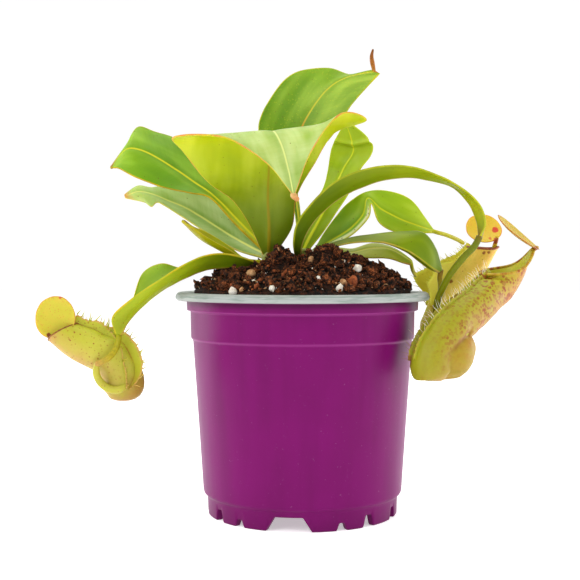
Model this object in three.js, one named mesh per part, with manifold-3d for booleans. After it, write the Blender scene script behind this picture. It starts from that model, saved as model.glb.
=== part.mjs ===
// A young pitcher plant in a 12 cm plastic nursery pot, in millimetres, +Z up.
// The pot's axis is the Z axis and the pot stands on z = 0. The viewer is on the -Y side.
import * as THREE from "three";
import { mergeVertices } from "three/addons/utils/BufferGeometryUtils.js";
import Module from "manifold-3d";

const wasm = await Module();
wasm.setup();

// Driving dimensions of the pot
const RIM_RADIUS = 60;
const POT_HEIGHT = 104;
const RIM_HEIGHT = 4;
const BAND_RADIUS = 54.6;
const BAND_HEIGHT = 4.6;
const BODY_TOP_RADIUS = 52.8;
const STEP_DROP = 22;
const STEP_DEPTH = 1;
const BODY_FOOT_RADIUS = 46.8;
const FOOT_HEIGHT = 9.6;
const FOOT_RADIUS = 44.6;
const POT_WALL = 1.2;
const FOOT_WALL = 3.2;
const FLOOR_UNDERSIDE = 7.4;
const POT_SIDES = 44;
const DRAIN_HOLES = 6;
const DRAIN_HOLE_RADIUS = 4;
const DRAIN_CIRCLE_RADIUS = 34;

// Foot notches of one half turn: angle in degrees from the widest notch, half width at the
// top, how much wider each side is at the bottom, height
const FOOT_NOTCHES = [
  { angle: 0, half: 6.4, flare: 4, top: 6.4 },
  { angle: 31, half: 1.3, flare: 1.2, top: 3.4 },
  { angle: 49.5, half: 1.8, flare: 1.4, top: 5.4 },
  { angle: 75.5, half: 1.8, flare: 1.4, top: 5.4 },
  { angle: 104.5, half: 1.8, flare: 1.4, top: 5.4 },
  { angle: 130.5, half: 1.8, flare: 1.4, top: 5.4 },
  { angle: 149, half: 1.3, flare: 1.2, top: 3.4 },
];
const WIDEST_NOTCH_TURN = -98.5;

// Driving dimensions of the plant
const GAP = 0.3;
const FINEST_EDGE = 0.01;
const CROWN_RADIUS = 3.6;
const CROWN_FOOT = 96;
const BLADE_THICKNESS = 0.8;
const PETIOLE_THICKNESS = 2;
const RIB_RELIEF = 0.8;
const BLADE_COLUMNS = 6;
const ROWS_PER_POINT = 1.6;
const WALL = 1;
const LIP = 0.9;
const PITCHER_SIDES = 12;
const PITCHER_ROWS = 9;

// Soil
const SOIL_FLOOR = 9;
const SOIL_EDGE_HEIGHT = 101.5;
const SOIL_RINGS = 11;
const SOIL_SPOKES = 32;
const CRUMB_COUNT = 14;

// The two crowns that the leaves grow from: centre x, y and top z
const CROWNS = {
  left: [-16, -4, 125],
  right: [-0.5, -1, 124.5],
};

// Leaves: points from the base to the tip along the midrib and along each margin, left and
// right as seen from the upper face, then the tendril's points with its radius.
const LEAVES = {
  front: {
    rib: [[-16, -5, 121], [-15.5, -13, 133.5], [-16, -19, 146], [-15.5, -27, 158.5],
      [-15, -36, 168.5], [-13.5, -45, 174.5], [-9.5, -53, 167.5], [-6.5, -57, 156.5],
      [-4.5, -58, 146.5]],
    left: [[-13.5, -5, 121], [-5, -10, 134], [-2.8, -16, 148], [5, -27, 161.7],
      [14, -36.5, 175], [27.3, -44.5, 179.3], [16, -53, 181], [3.5, -57.5, 165],
      [-3.5, -58, 147]],
    right: [[-18.5, -5, 121], [-24, -11, 134], [-32.5, -17, 146.5], [-43, -26, 154],
      [-53, -37, 166.5], [-56, -45, 172], [-34.5, -54, 171], [-16.5, -57.5, 160],
      [-5.5, -58, 147]],
    tendril: [[-3.9, -58.3, 146, 1], [-2.8, -58.4, 145.8, 0.6]],
  },
  upper_back: {
    rib: [[-2, 0, 123.5], [-1.5, 5, 134], [-2.5, 8, 144], [-4, 12, 155.5], [-4, 16, 167.5],
      [-1, 19, 181.5], [5, 20, 193], [12.5, 19, 202.5], [21, 17, 207.5], [34.6, 12, 209.8]],
    left: [[-3.5, 0, 123.5], [-3, 5, 134], [-4.2, 8, 144], [-7.5, 12, 155.5], [-14, 17, 168],
      [-21.5, 21, 183.5], [-15, 25, 200], [-4, 26, 211.5], [13, 24, 213.8], [24, 18.5, 209.6],
      [33.6, 12.3, 210.8]],
    right: [[-1, 0, 123.5], [-0.3, 5, 134], [-1, 8, 144], [-2, 10.5, 155.5], [5, 12, 167.5],
      [16, 14, 181], [23, 13, 192.5], [27.9, 12, 198.5], [33, 11.5, 204], [37.6, 11.8, 208.8]],
    tendril: [[34.5, 12, 211, 0.9], [33.8, 11.5, 214, 1.1], [33.4, 11, 217, 0.9],
      [34, 11, 220, 0.5]],
  },
  upper_left: {
    rib: [[-16.5, -3.5, 123], [-29.5, -4, 136.5], [-40.5, -5, 148], [-50, -6, 155],
      [-61.5, -8, 162.5], [-71.5, -10, 168.5], [-78.5, -11, 170.5], [-82.5, -12, 169],
      [-88, -13, 162]],
    left: [[-17.5, -4.5, 122], [-31, -6, 135], [-42.5, -9, 147.5], [-52, -13, 149.5],
      [-65.5, -16, 152.5], [-76.5, -17, 156.5], [-84, -15, 160.5], [-86.5, -14, 161],
      [-88.5, -13.5, 161]],
    right: [[-15.5, -2.5, 124], [-25, -2, 139.5], [-33.5, 0, 153.5], [-42, 3, 165],
      [-57.5, 4, 175.5], [-70, 2, 180], [-77.5, -2, 181.5], [-81.5, -8, 173],
      [-87.5, -12, 162.5]],
  },
  lower_left: {
    rib: [[-16.5, -2, 120.5], [-30, 6, 128], [-42, 6, 135.5], [-54, 7, 143], [-64.5, 7, 147.5],
      [-72, 6, 150.5], [-78.5, 5, 151.5], [-84.5, 4, 149]],
    left: [[-17.5, -3.5, 119.5], [-31.5, 3, 123.5], [-45, 2, 131.5], [-55, 2, 138],
      [-65, 3, 144.5], [-69, 3, 146.3], [-71.5, 1.5, 144], [-75, 3, 146.2],
      [-84.4, 4, 148.3]],
    right: [[-15.5, -0.5, 121.5], [-28, 9, 133.5], [-37, 12, 144], [-48.5, 13, 154],
      [-62, 13, 156.5], [-72, 11, 154], [-79, 9, 154.5], [-85, 5, 150]],
  },
  small_left: {
    rib: [[-17, -4, 118], [-27, -5, 119], [-34, -6.5, 121.5], [-40, -10, 124.5],
      [-46, -12, 128], [-51, -14, 132.5], [-55, -15, 137]],
    left: [[-17, -5, 118.5], [-27, -6, 120], [-34.5, -9.5, 124], [-41.5, -14, 128],
      [-47, -17, 131.5], [-51.5, -17, 134.5], [-55.5, -16, 137]],
    right: [[-17, -3, 118.5], [-27, -4, 120], [-33, -4, 124.5], [-39, -5, 128.5], [-45, -7, 132],
      [-50.5, -10, 134.5], [-54.5, -14, 137]],
  },
  low_left: {
    rib: [[-16.5, -5, 115.5], [-30.5, -15, 116], [-42.5, -19, 115.5], [-53, -26, 111.5],
      [-63.5, -31, 105.5], [-71.5, -35, 98.5], [-77, -38.5, 92], [-80.5, -41, 86]],
    left: [[-17, -7, 116.5], [-29.5, -18, 121], [-40, -24, 122], [-51, -32, 118],
      [-63, -38, 110.5], [-74.5, -41, 102.5], [-83, -43.5, 94.5], [-82.4, -42, 87]],
    right: [[-16, -3, 116.5], [-29, -11, 120], [-41, -11, 121], [-54.5, -14, 115.5],
      [-65, -17, 117.3], [-73, -22, 112.5], [-76, -32, 101], [-80, -39.5, 87.5]],
    tendril: [[-80.6, -43.2, 83.5, 1.3], [-81.2, -46, 80.3, 1.3], [-83.6, -47.6, 77, 1.3],
      [-86.8, -47.6, 74.9, 1.3], [-89, -47, 74, 1.3]],
  },
  right_arch: {
    rib: [[-1, -3, 117], [-1, -12, 126.5], [5.5, -16, 138], [18.5, -20, 148.5],
      [34.5, -24, 155], [50, -27, 156], [65, -29, 152.5], [73.5, -30, 145], [77.5, -30, 137],
      [79, -30, 130]],
    left: [[1, -3, 118], [-2.5, -8, 128.5], [1, -10, 139], [16, -12, 153], [32.5, -16, 160],
      [51, -19, 159.5], [67, -22, 152.5], [77.5, -24, 144], [81.5, -26, 137],
      [80.5, -28, 130.5]],
    right: [[-3, -3, 118], [-4.5, -16, 127.5], [-1, -21, 139], [14, -26, 154], [32, -30, 160.5],
      [50, -33, 160], [67, -35, 152.5], [77.5, -35, 144], [81, -33, 135.5],
      [79.5, -31, 129.5]],
    tendril: [[76.5, -29, 125, 1.5], [72, -27, 120, 1.5], [67, -23, 113, 1.5],
      [64, -19, 106.5, 1.5], [62, -16, 100.5, 1.5], [61, -15, 93.5, 1.5], [58.5, -16.5, 87, 1.6],
      [55.5, -20.5, 81.5, 1.6], [55, -26.5, 77, 1.6]],
  },
  wrinkled_back: {
    rib: [[-0.5, 0, 120.5], [5.5, 4, 132.5], [10.5, 6, 142], [15, 7, 151.5], [19.5, 8, 161.5],
      [24.5, 7, 170.5], [23.5, 5, 177], [21, 4, 184]],
    left: [[0.5, -1, 120.5], [9.5, 3, 131.5], [17, 4, 143], [22.5, 4, 151.5], [28, 4, 162],
      [33.5, 3, 171.5], [30, 2, 178], [22.5, 3, 184.5]],
    right: [[-1.5, 1, 120.5], [2.5, 6, 133.5], [5.5, 9, 145], [10.5, 11, 154.5], [13, 11, 166],
      [14, 9, 172.5], [17, 6, 179], [20, 4, 183.5]],
  },
  right_middle: {
    rib: [[0, 0, 119], [7, 6, 124], [15, 8, 129], [23, 9, 134], [29.5, 9, 141],
      [31.5, 8, 148.5], [37.5, 6, 143.5], [48, 5, 138], [55, 5, 135.5], [62, 4, 132.8]],
    left: [[-0.5, 1, 119.5], [6, 7.5, 125], [10, 11, 131.5], [15.5, 13, 139], [22, 13, 146.5],
      [31, 11, 152], [42, 11, 152.2], [52, 10, 148.5], [59, 8, 139.5], [62.5, 5, 133.6]],
    right: [[0.5, -1, 118.5], [8.5, 5, 123], [17.5, 5, 127.5], [25, 5, 132], [32, 4.5, 139.5],
      [33, 3.5, 145.5], [36, 2, 137], [43, 2, 132.5], [53, 3, 131.5], [61.5, 3, 132]],
    tendril: [[65, 5, 132, 1], [69.5, 9, 131, 1], [75.5, 15, 129, 1], [79, 20, 127.5, 1]],
  },
  right_low_arch: {
    rib: [[0, -1.5, 120.5], [11, -5, 126], [22, -7, 129.5], [35, -8, 131.5], [47.5, -9, 132.5],
      [56.5, -10, 131.5], [62, -10, 124], [64.5, -9, 115]],
    left: [[0, -0.5, 120.5], [10, -1, 124.5], [23.5, -1, 127], [37.5, 0, 127], [48.5, 0, 123],
      [55, -2, 118], [59.5, -4, 114.5], [64.5, -7, 112.5]],
    right: [[0, -2.5, 119.5], [12, -9, 124], [22.5, -13, 126.5], [34.5, -16, 127],
      [45.5, -17, 124], [52.5, -17, 120], [58.5, -15, 115.5], [63, -10, 113]],
    tendril: [[64, -8, 111, 1.2], [64.5, -6, 107.5, 1.2], [65, -2, 103, 1.2], [65, 5, 97, 1.2],
      [64.5, 13, 90, 1.3], [64, 20, 84, 1.3], [65, 28, 82, 1.4]],
  },
  right_lowest: {
    rib: [[-1, 1, 117], [5.5, 10, 120.5], [13.5, 11, 123.5], [23, 11, 122.5], [32.5, 9, 124.5],
      [41, 7, 124.5], [47.5, 6, 121.5], [52, 5, 118]],
    left: [[-2, 1, 117.5], [4.5, 12, 121.5], [14, 15, 125], [24.5, 16, 124.5], [34, 14, 127],
      [41.5, 12, 126], [48.5, 9, 122], [52.5, 6, 118.5]],
    right: [[0, 1, 117.5], [6.5, 8.5, 120], [13.5, 7, 122], [24, 5, 120], [33.5, 3, 120],
      [41.5, 2, 119.5], [47.5, 3, 117.5], [51.5, 4, 116.5]],
    tendril: [[52.5, 6, 115.5, 0.9], [53.5, 9, 113.5, 0.9], [55, 13, 111.5, 0.9]],
  },
};

// Pitchers: stations from the foot to the mouth as x, y, z and outer radius, the direction
// that the winged front faces, the mouth's normal, how far the rim rises to the lid's neck,
// and the wings: angles from the front, where they start and end, and heights.
const PITCHERS = {
  left: {
    axis: [[-80, -32, 56.4, 3.5], [-80, -32, 57.8, 6.4], [-80, -32, 62.5, 9.1],
      [-81.2, -32.6, 69.6, 9.1], [-85.5, -34.6, 76, 8.7], [-92, -37, 79.4, 8.3],
      [-98.4, -39, 83.1, 7.9], [-104.3, -41, 87, 6.5]],
    front: [0.75, 0.1, 0.65],
    mouth: [-0.52, 0.2, 0.83],
    neck: [0, 0, 0],
    wings: [
      { angles: [-84, -80, -68, -12, -2, 4, 8], from: 0.28, to: 0.97,
        heights: [0.4, 0.6, 0.6, 0.3, 1.5, 3, 2.4, 1.2] },
      { angles: [-78, -52, -34, -5, 18, 30, 34], from: 0.28, to: 0.92,
        heights: [0.4, 3, 4.5, 4.5, 4, 3, 2.2, 1.5, 1] },
    ],
    hook: [[-89.3, -46.6, 73.6, 1.3], [-89.8, -46, 71.3, 1.5], [-89.7, -44.4, 68.6, 1.6],
      [-88.6, -42.2, 65.6, 1.7], [-86.2, -40.6, 63.2, 1.8], [-83, -41, 62.1, 1.8],
      [-79.8, -41.2, 62.6, 1.7], [-77.6, -40.4, 64, 1.2]],
  },
  front_right: {
    axis: [[57, -33, 65.3, 3], [57, -33, 66.3, 6.5], [56.7, -33, 69.5, 8.9],
      [57.4, -32, 74.2, 9.5], [59.8, -30, 79.4, 9.6], [65.3, -26, 86.2, 9.5],
      [72.3, -20, 92.2, 9.1], [79.4, -13.4, 97, 8.8], [85.4, -7, 101.6, 8.8],
      [90.3, -2, 105.3, 9], [94.2, 1.8, 109.2, 9.4], [96.6, 3.4, 113.4, 10.2]],
    front: [-0.7, 0, 0.7],
    mouth: [-0.07, -0.12, 0.99],
    neck: [1.5, -1.5, 9],
    wings: [
      { angles: [-8, -8], from: 0.24, to: 0.86, heights: [1.1, 1.3, 1.3, 1.2, 1.1, 1, 0.8] },
      { angles: [24, 24], from: 0.24, to: 0.86, heights: [1.1, 1.3, 1.3, 1.2, 1.1, 1, 0.8] },
    ],
    heel: { centre: [68, -28, 76], along: [0.5, 0.1, 0.86], size: [11.5, 9.6, 8.6] },
  },
  back_right: {
    axis: [[65.5, 33, 80, 4], [66.5, 33, 83.5, 7], [70, 33, 91.5, 8], [74, 33, 100, 8.6],
      [79, 32, 108.5, 8.6], [85, 30, 117, 7.8], [90, 28, 124.5, 6.6]],
    front: [-0.88, 0, 0.46],
    mouth: [0.1, -0.06, 0.99],
    neck: [0.5, 0, 1.5],
    wings: [
      { angles: [-20, -20], from: 0.36, to: 0.97, heights: [0.6, 3, 12, 10, 6.5, 4, 1.5, 1, 1] },
      { angles: [34, 34], from: 0.36, to: 0.95, heights: [0.6, 3, 8, 8, 9, 3, 1, 1] },
    ],
  },
};
const WING_TEETH = 8;
const TOOTH_HEIGHT = 0.9;
const WING_THICKNESS = 0.8;

// Lids: centre, the direction from the neck to the far edge, the direction across, half
// length, half width, depth of the dome, and the neck's lower end.
const LIDS = {
  left: { centre: [-107.5, -44, 94], along: [0.25, -0.1, 0.96], across: [0.97, 0.06, -0.2],
    length: 9.6, width: 8.6, dome: 1.4, neck: [-110.5, -41.5, 85] },
  front_right: { centre: [102.4, 6, 130.8], along: [-0.78, 0, 0.63], across: [0.19, 0.95, 0.2],
    length: 12.9, width: 9.5, dome: 1.6, neck: [110, 4.4, 123.9] },
  back_right: { centre: [91, 30, 134], along: [-0.72, 0.4, 0.5], across: [0.68, 0.36, 0.62],
    length: 9.2, width: 8.4, dome: 1.4, neck: [96, 28, 125.5] },
};
const LID_THICKNESS = 0.8;
const NECK_RADIUS = 1.1;

const vec = (p) => new THREE.Vector3(p[0], p[1], p[2]);
const clamp01 = (v) => Math.min(1, Math.max(0, v));
const curve = (points) =>
  new THREE.CatmullRomCurve3(points.map(vec), false, "catmullrom", 0.5);

// A number carried along the stations, read at any place between 0 and 1.
function between(values, t) {
  const place = clamp01(t) * (values.length - 1);
  const i = Math.min(values.length - 2, Math.floor(place));
  return THREE.MathUtils.lerp(values[i], values[i + 1], place - i);
}

// One geometry from vertices and faces.
function geometryOf(vertices, faces) {
  const geometry = new THREE.BufferGeometry();
  const flat = vertices.flatMap((v) => [v.x, v.y, v.z]);
  geometry.setAttribute("position", new THREE.Float32BufferAttribute(flat, 3));
  geometry.setIndex(faces.flat());
  return geometry;
}

// A closed sheet between two grids of points, with the same diagonal on both faces.
function sheet(top, bottom) {
  const rows = top.length;
  const columns = top[0].length;
  const vertices = [...top.flat(), ...bottom.flat()];
  const under = rows * columns;
  const at = (i, j) => i * columns + j;
  const faces = [];
  for (let i = 0; i < rows - 1; i++) {
    for (let j = 0; j < columns - 1; j++) {
      const [a, b, c, d] = [at(i, j), at(i, j + 1), at(i + 1, j + 1), at(i + 1, j)];
      faces.push([a, b, c], [a, c, d]);
      faces.push([a + under, c + under, b + under], [a + under, d + under, c + under]);
    }
  }
  const edge = [];
  for (let j = 0; j < columns - 1; j++) edge.push(at(0, j));
  for (let i = 0; i < rows - 1; i++) edge.push(at(i, columns - 1));
  for (let j = columns - 1; j > 0; j--) edge.push(at(rows - 1, j));
  for (let i = rows - 1; i > 0; i--) edge.push(at(i, 0));
  edge.forEach((a, k) => {
    const b = edge[(k + 1) % edge.length];
    faces.push([a, a + under, b + under], [a, b + under, b]);
  });
  return geometryOf(vertices, faces);
}

// A closed skin over rings of points, capped at both ends.
function skin(rings) {
  const sides = rings[0].length;
  const vertices = rings.flat();
  const faces = [];
  for (let i = 0; i < rings.length - 1; i++) {
    for (let j = 0; j < sides; j++) {
      const a = i * sides + j;
      const b = i * sides + ((j + 1) % sides);
      faces.push([a, b, b + sides], [a, b + sides, a + sides]);
    }
  }
  const last = (rings.length - 1) * sides;
  for (const [start, order] of [[0, 1], [last, -1]]) {
    const middle = vertices.length;
    const ring = vertices.slice(start, start + sides);
    vertices.push(ring.reduce((sum, v) => sum.add(v), new THREE.Vector3()).divideScalar(sides));
    for (let j = 0; j < sides; j++) {
      const face = [middle, start + ((j + 1) % sides), start + j];
      faces.push(order > 0 ? face : face.reverse());
    }
  }
  return geometryOf(vertices, faces);
}

// Solids from geometries, and back.
function solid(geometry) {
  const bare = new THREE.BufferGeometry();
  bare.setAttribute("position", geometry.getAttribute("position").clone());
  if (geometry.index) bare.setIndex(geometry.index.clone());
  const merged = mergeVertices(bare, 1e-4);
  return new wasm.Manifold(
    new wasm.Mesh({
      numProp: 3,
      vertProperties: new Float32Array(merged.getAttribute("position").array),
      triVerts: new Uint32Array(merged.index.array),
    }),
  );
}

function geometryFrom(body) {
  const mesh = body.getMesh();
  const geometry = new THREE.BufferGeometry();
  geometry.setAttribute("position", new THREE.BufferAttribute(mesh.vertProperties, 3));
  geometry.setIndex(new THREE.BufferAttribute(mesh.triVerts, 1));
  return geometry;
}

const joined = (solids) => solids.reduce((whole, next) => whole.add(next));
const cleared = (body, others) => others.reduce((rest, other) => rest.subtract(other), body);

// The largest connected piece of a solid, so that a cut leaves no scrap.
function mainPiece(body) {
  const size = (piece) => piece.volume();
  return body.decompose().sort((a, b) => size(b) - size(a))[0];
}

// A leaf blade with its raised midrib, drawn out into its tendril; grow thickens it all round.
function leafSolid({ rib, left, right, tendril = [] }, grow = 0) {
  const lines = [left, rib, right].map(curve);
  const rows = Math.round((rib.length - 1) * ROWS_PER_POINT);
  const surface = (t, u) => {
    const middle = lines[1].getPoint(t);
    const edge = lines[u < 0 ? 0 : 2].getPoint(t);
    const reach = 1 + grow / Math.max(0.5, edge.distanceTo(middle));
    return middle.lerp(edge, Math.abs(u) * reach);
  };
  const step = 0.01;
  const normal = (t, u) => {
    const along = surface(Math.min(1, t + step), u).sub(surface(Math.max(0, t - step), u));
    const across = surface(t, 1).sub(surface(t, -1));
    const own = u === 0 ? across : surface(t, Math.sign(u)).sub(surface(t, 0));
    own.multiplyScalar(u === 0 ? 1 : Math.sign(u)).normalize().add(across.normalize());
    return own.cross(along).normalize();
  };
  const top = [];
  const bottom = [];
  for (let i = 0; i <= rows; i++) {
    const t = i / rows;
    const petiole = Math.exp(-((t / 0.14) ** 2)) + 0.6 * Math.exp(-(((1 - t) / 0.07) ** 2));
    const half = THREE.MathUtils.lerp(BLADE_THICKNESS, PETIOLE_THICKNESS, petiole) / 2 + grow;
    const upper = [];
    const lower = [];
    for (let j = 0; j <= BLADE_COLUMNS; j++) {
      const even = (2 * j) / BLADE_COLUMNS - 1;
      const u = Math.sign(even) * Math.abs(even) ** 1.35;
      const point = surface(t, u);
      const out = normal(t, u);
      const relief = j === BLADE_COLUMNS / 2 ? RIB_RELIEF : 0;
      upper.push(point.clone().addScaledVector(out, half));
      lower.push(point.clone().addScaledVector(out, -half - relief));
    }
    top.push(upper);
    bottom.push(lower);
  }
  if (tendril.length) {
    const start = [...rib.at(-1), tendril[0][3]];
    const stations = [start, ...tendril];
    const line = curve(stations);
    const side = vec(right.at(-1)).sub(vec(left.at(-1)));
    const steps = tendril.length + 2;
    for (let i = 1; i <= steps; i++) {
      const t = i / steps;
      const centre = line.getPoint(t);
      const tangent = line.getTangent(t);
      side.addScaledVector(tangent, -side.dot(tangent)).normalize();
      const out = side.clone().cross(tangent).normalize();
      const radius = between(stations.map((s) => s[3]), t) + grow;
      const ring = (sign) => {
        const points = [];
        for (let j = 0; j <= BLADE_COLUMNS; j++) {
          const turn = Math.PI * (1 - (j + 0.5) / (BLADE_COLUMNS + 1));
          points.push(centre.clone()
            .addScaledVector(side, radius * Math.cos(turn))
            .addScaledVector(out, sign * radius * Math.sin(turn)));
        }
        return points;
      };
      top.push(ring(1));
      bottom.push(ring(-1));
    }
  }
  return solid(sheet(top, bottom));
}

// The section frame of a pitcher at t: centre, axis direction, front and side.
function pitcherFrame({ axis, front }, t) {
  const line = curve(axis);
  const centre = line.getPoint(t);
  const tangent = line.getTangent(t);
  const forward = vec(front).addScaledVector(tangent, -vec(front).dot(tangent)).normalize();
  return { centre, tangent, forward, side: forward.clone().cross(tangent).negate() };
}

// A ring of the pitcher, tipped into the mouth's plane as t nears 1.
function pitcherRing(pitcher, t, offset, lift = 0) {
  const { centre, tangent, forward, side } = pitcherFrame(pitcher, t);
  const radius = between(pitcher.axis.map((s) => s[3]), t) + offset;
  const tip = clamp01((t - 0.45) / 0.55) ** 1.5;
  const plane = tangent.clone().lerp(vec(pitcher.mouth).normalize(), tip).normalize();
  centre.addScaledVector(vec(pitcher.mouth).normalize(), lift);
  const ring = [];
  for (let j = 0; j < PITCHER_SIDES; j++) {
    const turn = (2 * Math.PI * j) / PITCHER_SIDES;
    const spoke = forward.clone().multiplyScalar(radius * Math.cos(turn))
      .addScaledVector(side, radius * Math.sin(turn));
    spoke.addScaledVector(tangent, -spoke.dot(plane) / tangent.dot(plane));
    const rise = clamp01((t - 0.8) / 0.2) * ((1 - Math.cos(turn)) / 2) ** 7;
    ring.push(centre.clone().add(spoke).addScaledVector(vec(pitcher.neck), rise));
  }
  return ring;
}

function pitcherBody(pitcher, grow) {
  const rings = [];
  for (let i = 0; i <= PITCHER_ROWS; i++) {
    rings.push(pitcherRing(pitcher, i / PITCHER_ROWS, grow));
  }
  rings.push(pitcherRing(pitcher, 1, LIP + grow));
  rings.push(pitcherRing(pitcher, 1, LIP + grow, LIP + grow));
  return solid(skin(rings));
}

function pitcherHollow(pitcher) {
  const rings = [];
  for (let i = 1; i <= PITCHER_ROWS; i++) {
    rings.push(pitcherRing(pitcher, i / PITCHER_ROWS, -WALL));
  }
  rings.push(pitcherRing(pitcher, 1, -WALL, 6));
  return solid(skin(rings));
}

// A fringed wing: a thin strip standing on the pitcher's front with a toothed edge.
function wingSolid(pitcher, { angles, from, to, heights }, grow) {
  const steps = WING_TEETH * 2;
  const top = [];
  const bottom = [];
  for (let i = 0; i <= steps; i++) {
    const share = i / steps;
    const t = THREE.MathUtils.lerp(from, to, share);
    const { centre, tangent, forward, side } = pitcherFrame(pitcher, t);
    const radius = between(pitcher.axis.map((s) => s[3]), t);
    const turn = THREE.MathUtils.degToRad(between(angles, share));
    const out = forward.clone().multiplyScalar(Math.cos(turn)).addScaledVector(side, Math.sin(turn));
    const flat = out.clone().cross(tangent).normalize();
    const rise = between(heights, share);
    const tooth = i % 2 ? TOOTH_HEIGHT : 0;
    const reach = [radius * 0.6, radius + rise * 0.6, radius + rise + tooth + grow];
    const half = WING_THICKNESS / 2 + grow;
    top.push(reach.map((r) => centre.clone().addScaledVector(out, r).addScaledVector(flat, half)));
    bottom.push(reach.map((r) => centre.clone().addScaledVector(out, r).addScaledVector(flat, -half)));
  }
  return solid(sheet(top, bottom));
}

// A round rod along stations of x, y, z and radius.
function rodSolid(stations, sides, grow = 0) {
  const line = curve(stations);
  const steps = Math.round((stations.length - 1) * ROWS_PER_POINT);
  const side = new THREE.Vector3(1, 0, 0);
  const rings = [];
  for (let i = 0; i <= steps; i++) {
    const tangent = line.getTangent(i / steps);
    if (Math.abs(side.dot(tangent)) > 0.9) side.set(0, 1, 0);
    side.addScaledVector(tangent, -side.dot(tangent)).normalize();
    const out = tangent.clone().cross(side);
    const radius = between(stations.map((s) => s[3]), i / steps) + grow;
    const ring = [];
    for (let j = 0; j < sides; j++) {
      const turn = (2 * Math.PI * j) / sides;
      ring.push(line.getPoint(i / steps)
        .addScaledVector(side, radius * Math.cos(turn))
        .addScaledVector(out, radius * Math.sin(turn)));
    }
    rings.push(ring);
  }
  return solid(skin(rings));
}

// The swollen heel at the back of a pitcher's foot.
function heelSolid({ centre, along, size }, grow) {
  const ball = new THREE.SphereGeometry(1, 14, 8);
  const length = vec(along).normalize();
  const across = new THREE.Vector3(0, 1, 0).cross(length).normalize();
  const depth = length.clone().cross(across);
  ball.scale(size[0] + grow, size[1] + grow, size[2] + grow);
  ball.applyMatrix4(new THREE.Matrix4().makeBasis(length, depth.negate(), across));
  ball.translate(...centre);
  return solid(ball);
}

function pitcherSolid(pitcher, grow = 0) {
  const pieces = [pitcherBody(pitcher, grow)];
  for (const wing of pitcher.wings) pieces.push(wingSolid(pitcher, wing, grow));
  if (pitcher.hook) pieces.push(rodSolid(pitcher.hook, 8, grow));
  if (pitcher.heel) pieces.push(heelSolid(pitcher.heel, grow));
  return joined(pieces);
}

function lidSolid(lid) {
  const along = vec(lid.along).normalize();
  const across = vec(lid.across).addScaledVector(along, -vec(lid.across).dot(along)).normalize();
  const out = along.clone().cross(across);
  const sides = 18;
  const ring = (share, side) => {
    const points = [];
    for (let j = 0; j < sides; j++) {
      const turn = (2 * Math.PI * j) / sides;
      const drop = lid.dome * share ** 2 - (side * LID_THICKNESS) / 2;
      points.push(vec(lid.centre)
        .addScaledVector(along, lid.length * share * Math.cos(turn))
        .addScaledVector(across, lid.width * share * Math.sin(turn))
        .addScaledVector(out, -drop));
    }
    return points;
  };
  const shares = [0.4, 0.75, 1];
  const under = shares.map((share) => ring(share, -1));
  const over = shares.map((share) => ring(share, 1)).reverse();
  const plate = solid(skin([...under, ...over]));
  const root = vec(lid.centre).addScaledVector(along, -lid.length * 0.9).addScaledVector(out, -lid.dome);
  const neck = rodSolid([[...lid.neck, NECK_RADIUS], [root.x, root.y, root.z, NECK_RADIUS]], 6);
  return plate.add(neck);
}

// The pot: a thin wall with a rolled rim, a band, a step and a notched foot.
function potSolid() {
  const rimTop = POT_HEIGHT;
  const rimUnder = POT_HEIGHT - RIM_HEIGHT;
  const bandUnder = rimUnder - BAND_HEIGHT;
  const step = POT_HEIGHT - STEP_DROP;
  const inner = BODY_TOP_RADIUS - POT_WALL;
  const profile = [
    [0, FLOOR_UNDERSIDE],
    [FOOT_RADIUS - FOOT_WALL, FLOOR_UNDERSIDE],
    [FOOT_RADIUS - FOOT_WALL, 0],
    [FOOT_RADIUS, 0],
    [FOOT_RADIUS + 0.3, FOOT_HEIGHT - 1],
    [BODY_FOOT_RADIUS, FOOT_HEIGHT + 0.4],
    [BODY_TOP_RADIUS - STEP_DEPTH - 0.2, step - 0.6],
    [BODY_TOP_RADIUS - 0.2, step + 0.4],
    [BODY_TOP_RADIUS, bandUnder],
    [BAND_RADIUS - 0.3, bandUnder],
    [BAND_RADIUS, bandUnder + 0.8],
    [BAND_RADIUS, rimUnder + 0.4],
    [RIM_RADIUS - 1.4, rimUnder],
    [RIM_RADIUS, rimUnder + 1.2],
    [RIM_RADIUS, rimTop - 1.4],
    [RIM_RADIUS - 1.6, rimTop],
    [inner + 2.6, rimTop],
    [inner + 1.4, rimTop - 2],
    [inner, rimUnder - 4],
    [inner - STEP_DEPTH - 0.2, step - 1],
    [BODY_FOOT_RADIUS - POT_WALL, FOOT_HEIGHT + 0.4],
    [FOOT_RADIUS - POT_WALL, FLOOR_UNDERSIDE + POT_WALL],
    [0, FLOOR_UNDERSIDE + POT_WALL],
  ];
  const points = profile.map(([r, z]) => new THREE.Vector2(r, z));
  const body = new THREE.LatheGeometry(points, POT_SIDES).rotateX(Math.PI / 2);
  const cuts = [];
  for (const notch of FOOT_NOTCHES) {
    for (const turn of [notch.angle, notch.angle + 180]) cuts.push(notchSolid(turn, notch));
  }
  for (let i = 0; i < DRAIN_HOLES; i++) {
    const hole = new THREE.CylinderGeometry(DRAIN_HOLE_RADIUS, DRAIN_HOLE_RADIUS, 8, 10);
    hole.rotateX(Math.PI / 2);
    hole.translate(DRAIN_CIRCLE_RADIUS, 0, FLOOR_UNDERSIDE);
    hole.rotateZ((2 * Math.PI * i) / DRAIN_HOLES);
    cuts.push(solid(hole));
  }
  return cleared(solid(body), cuts);
}

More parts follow.
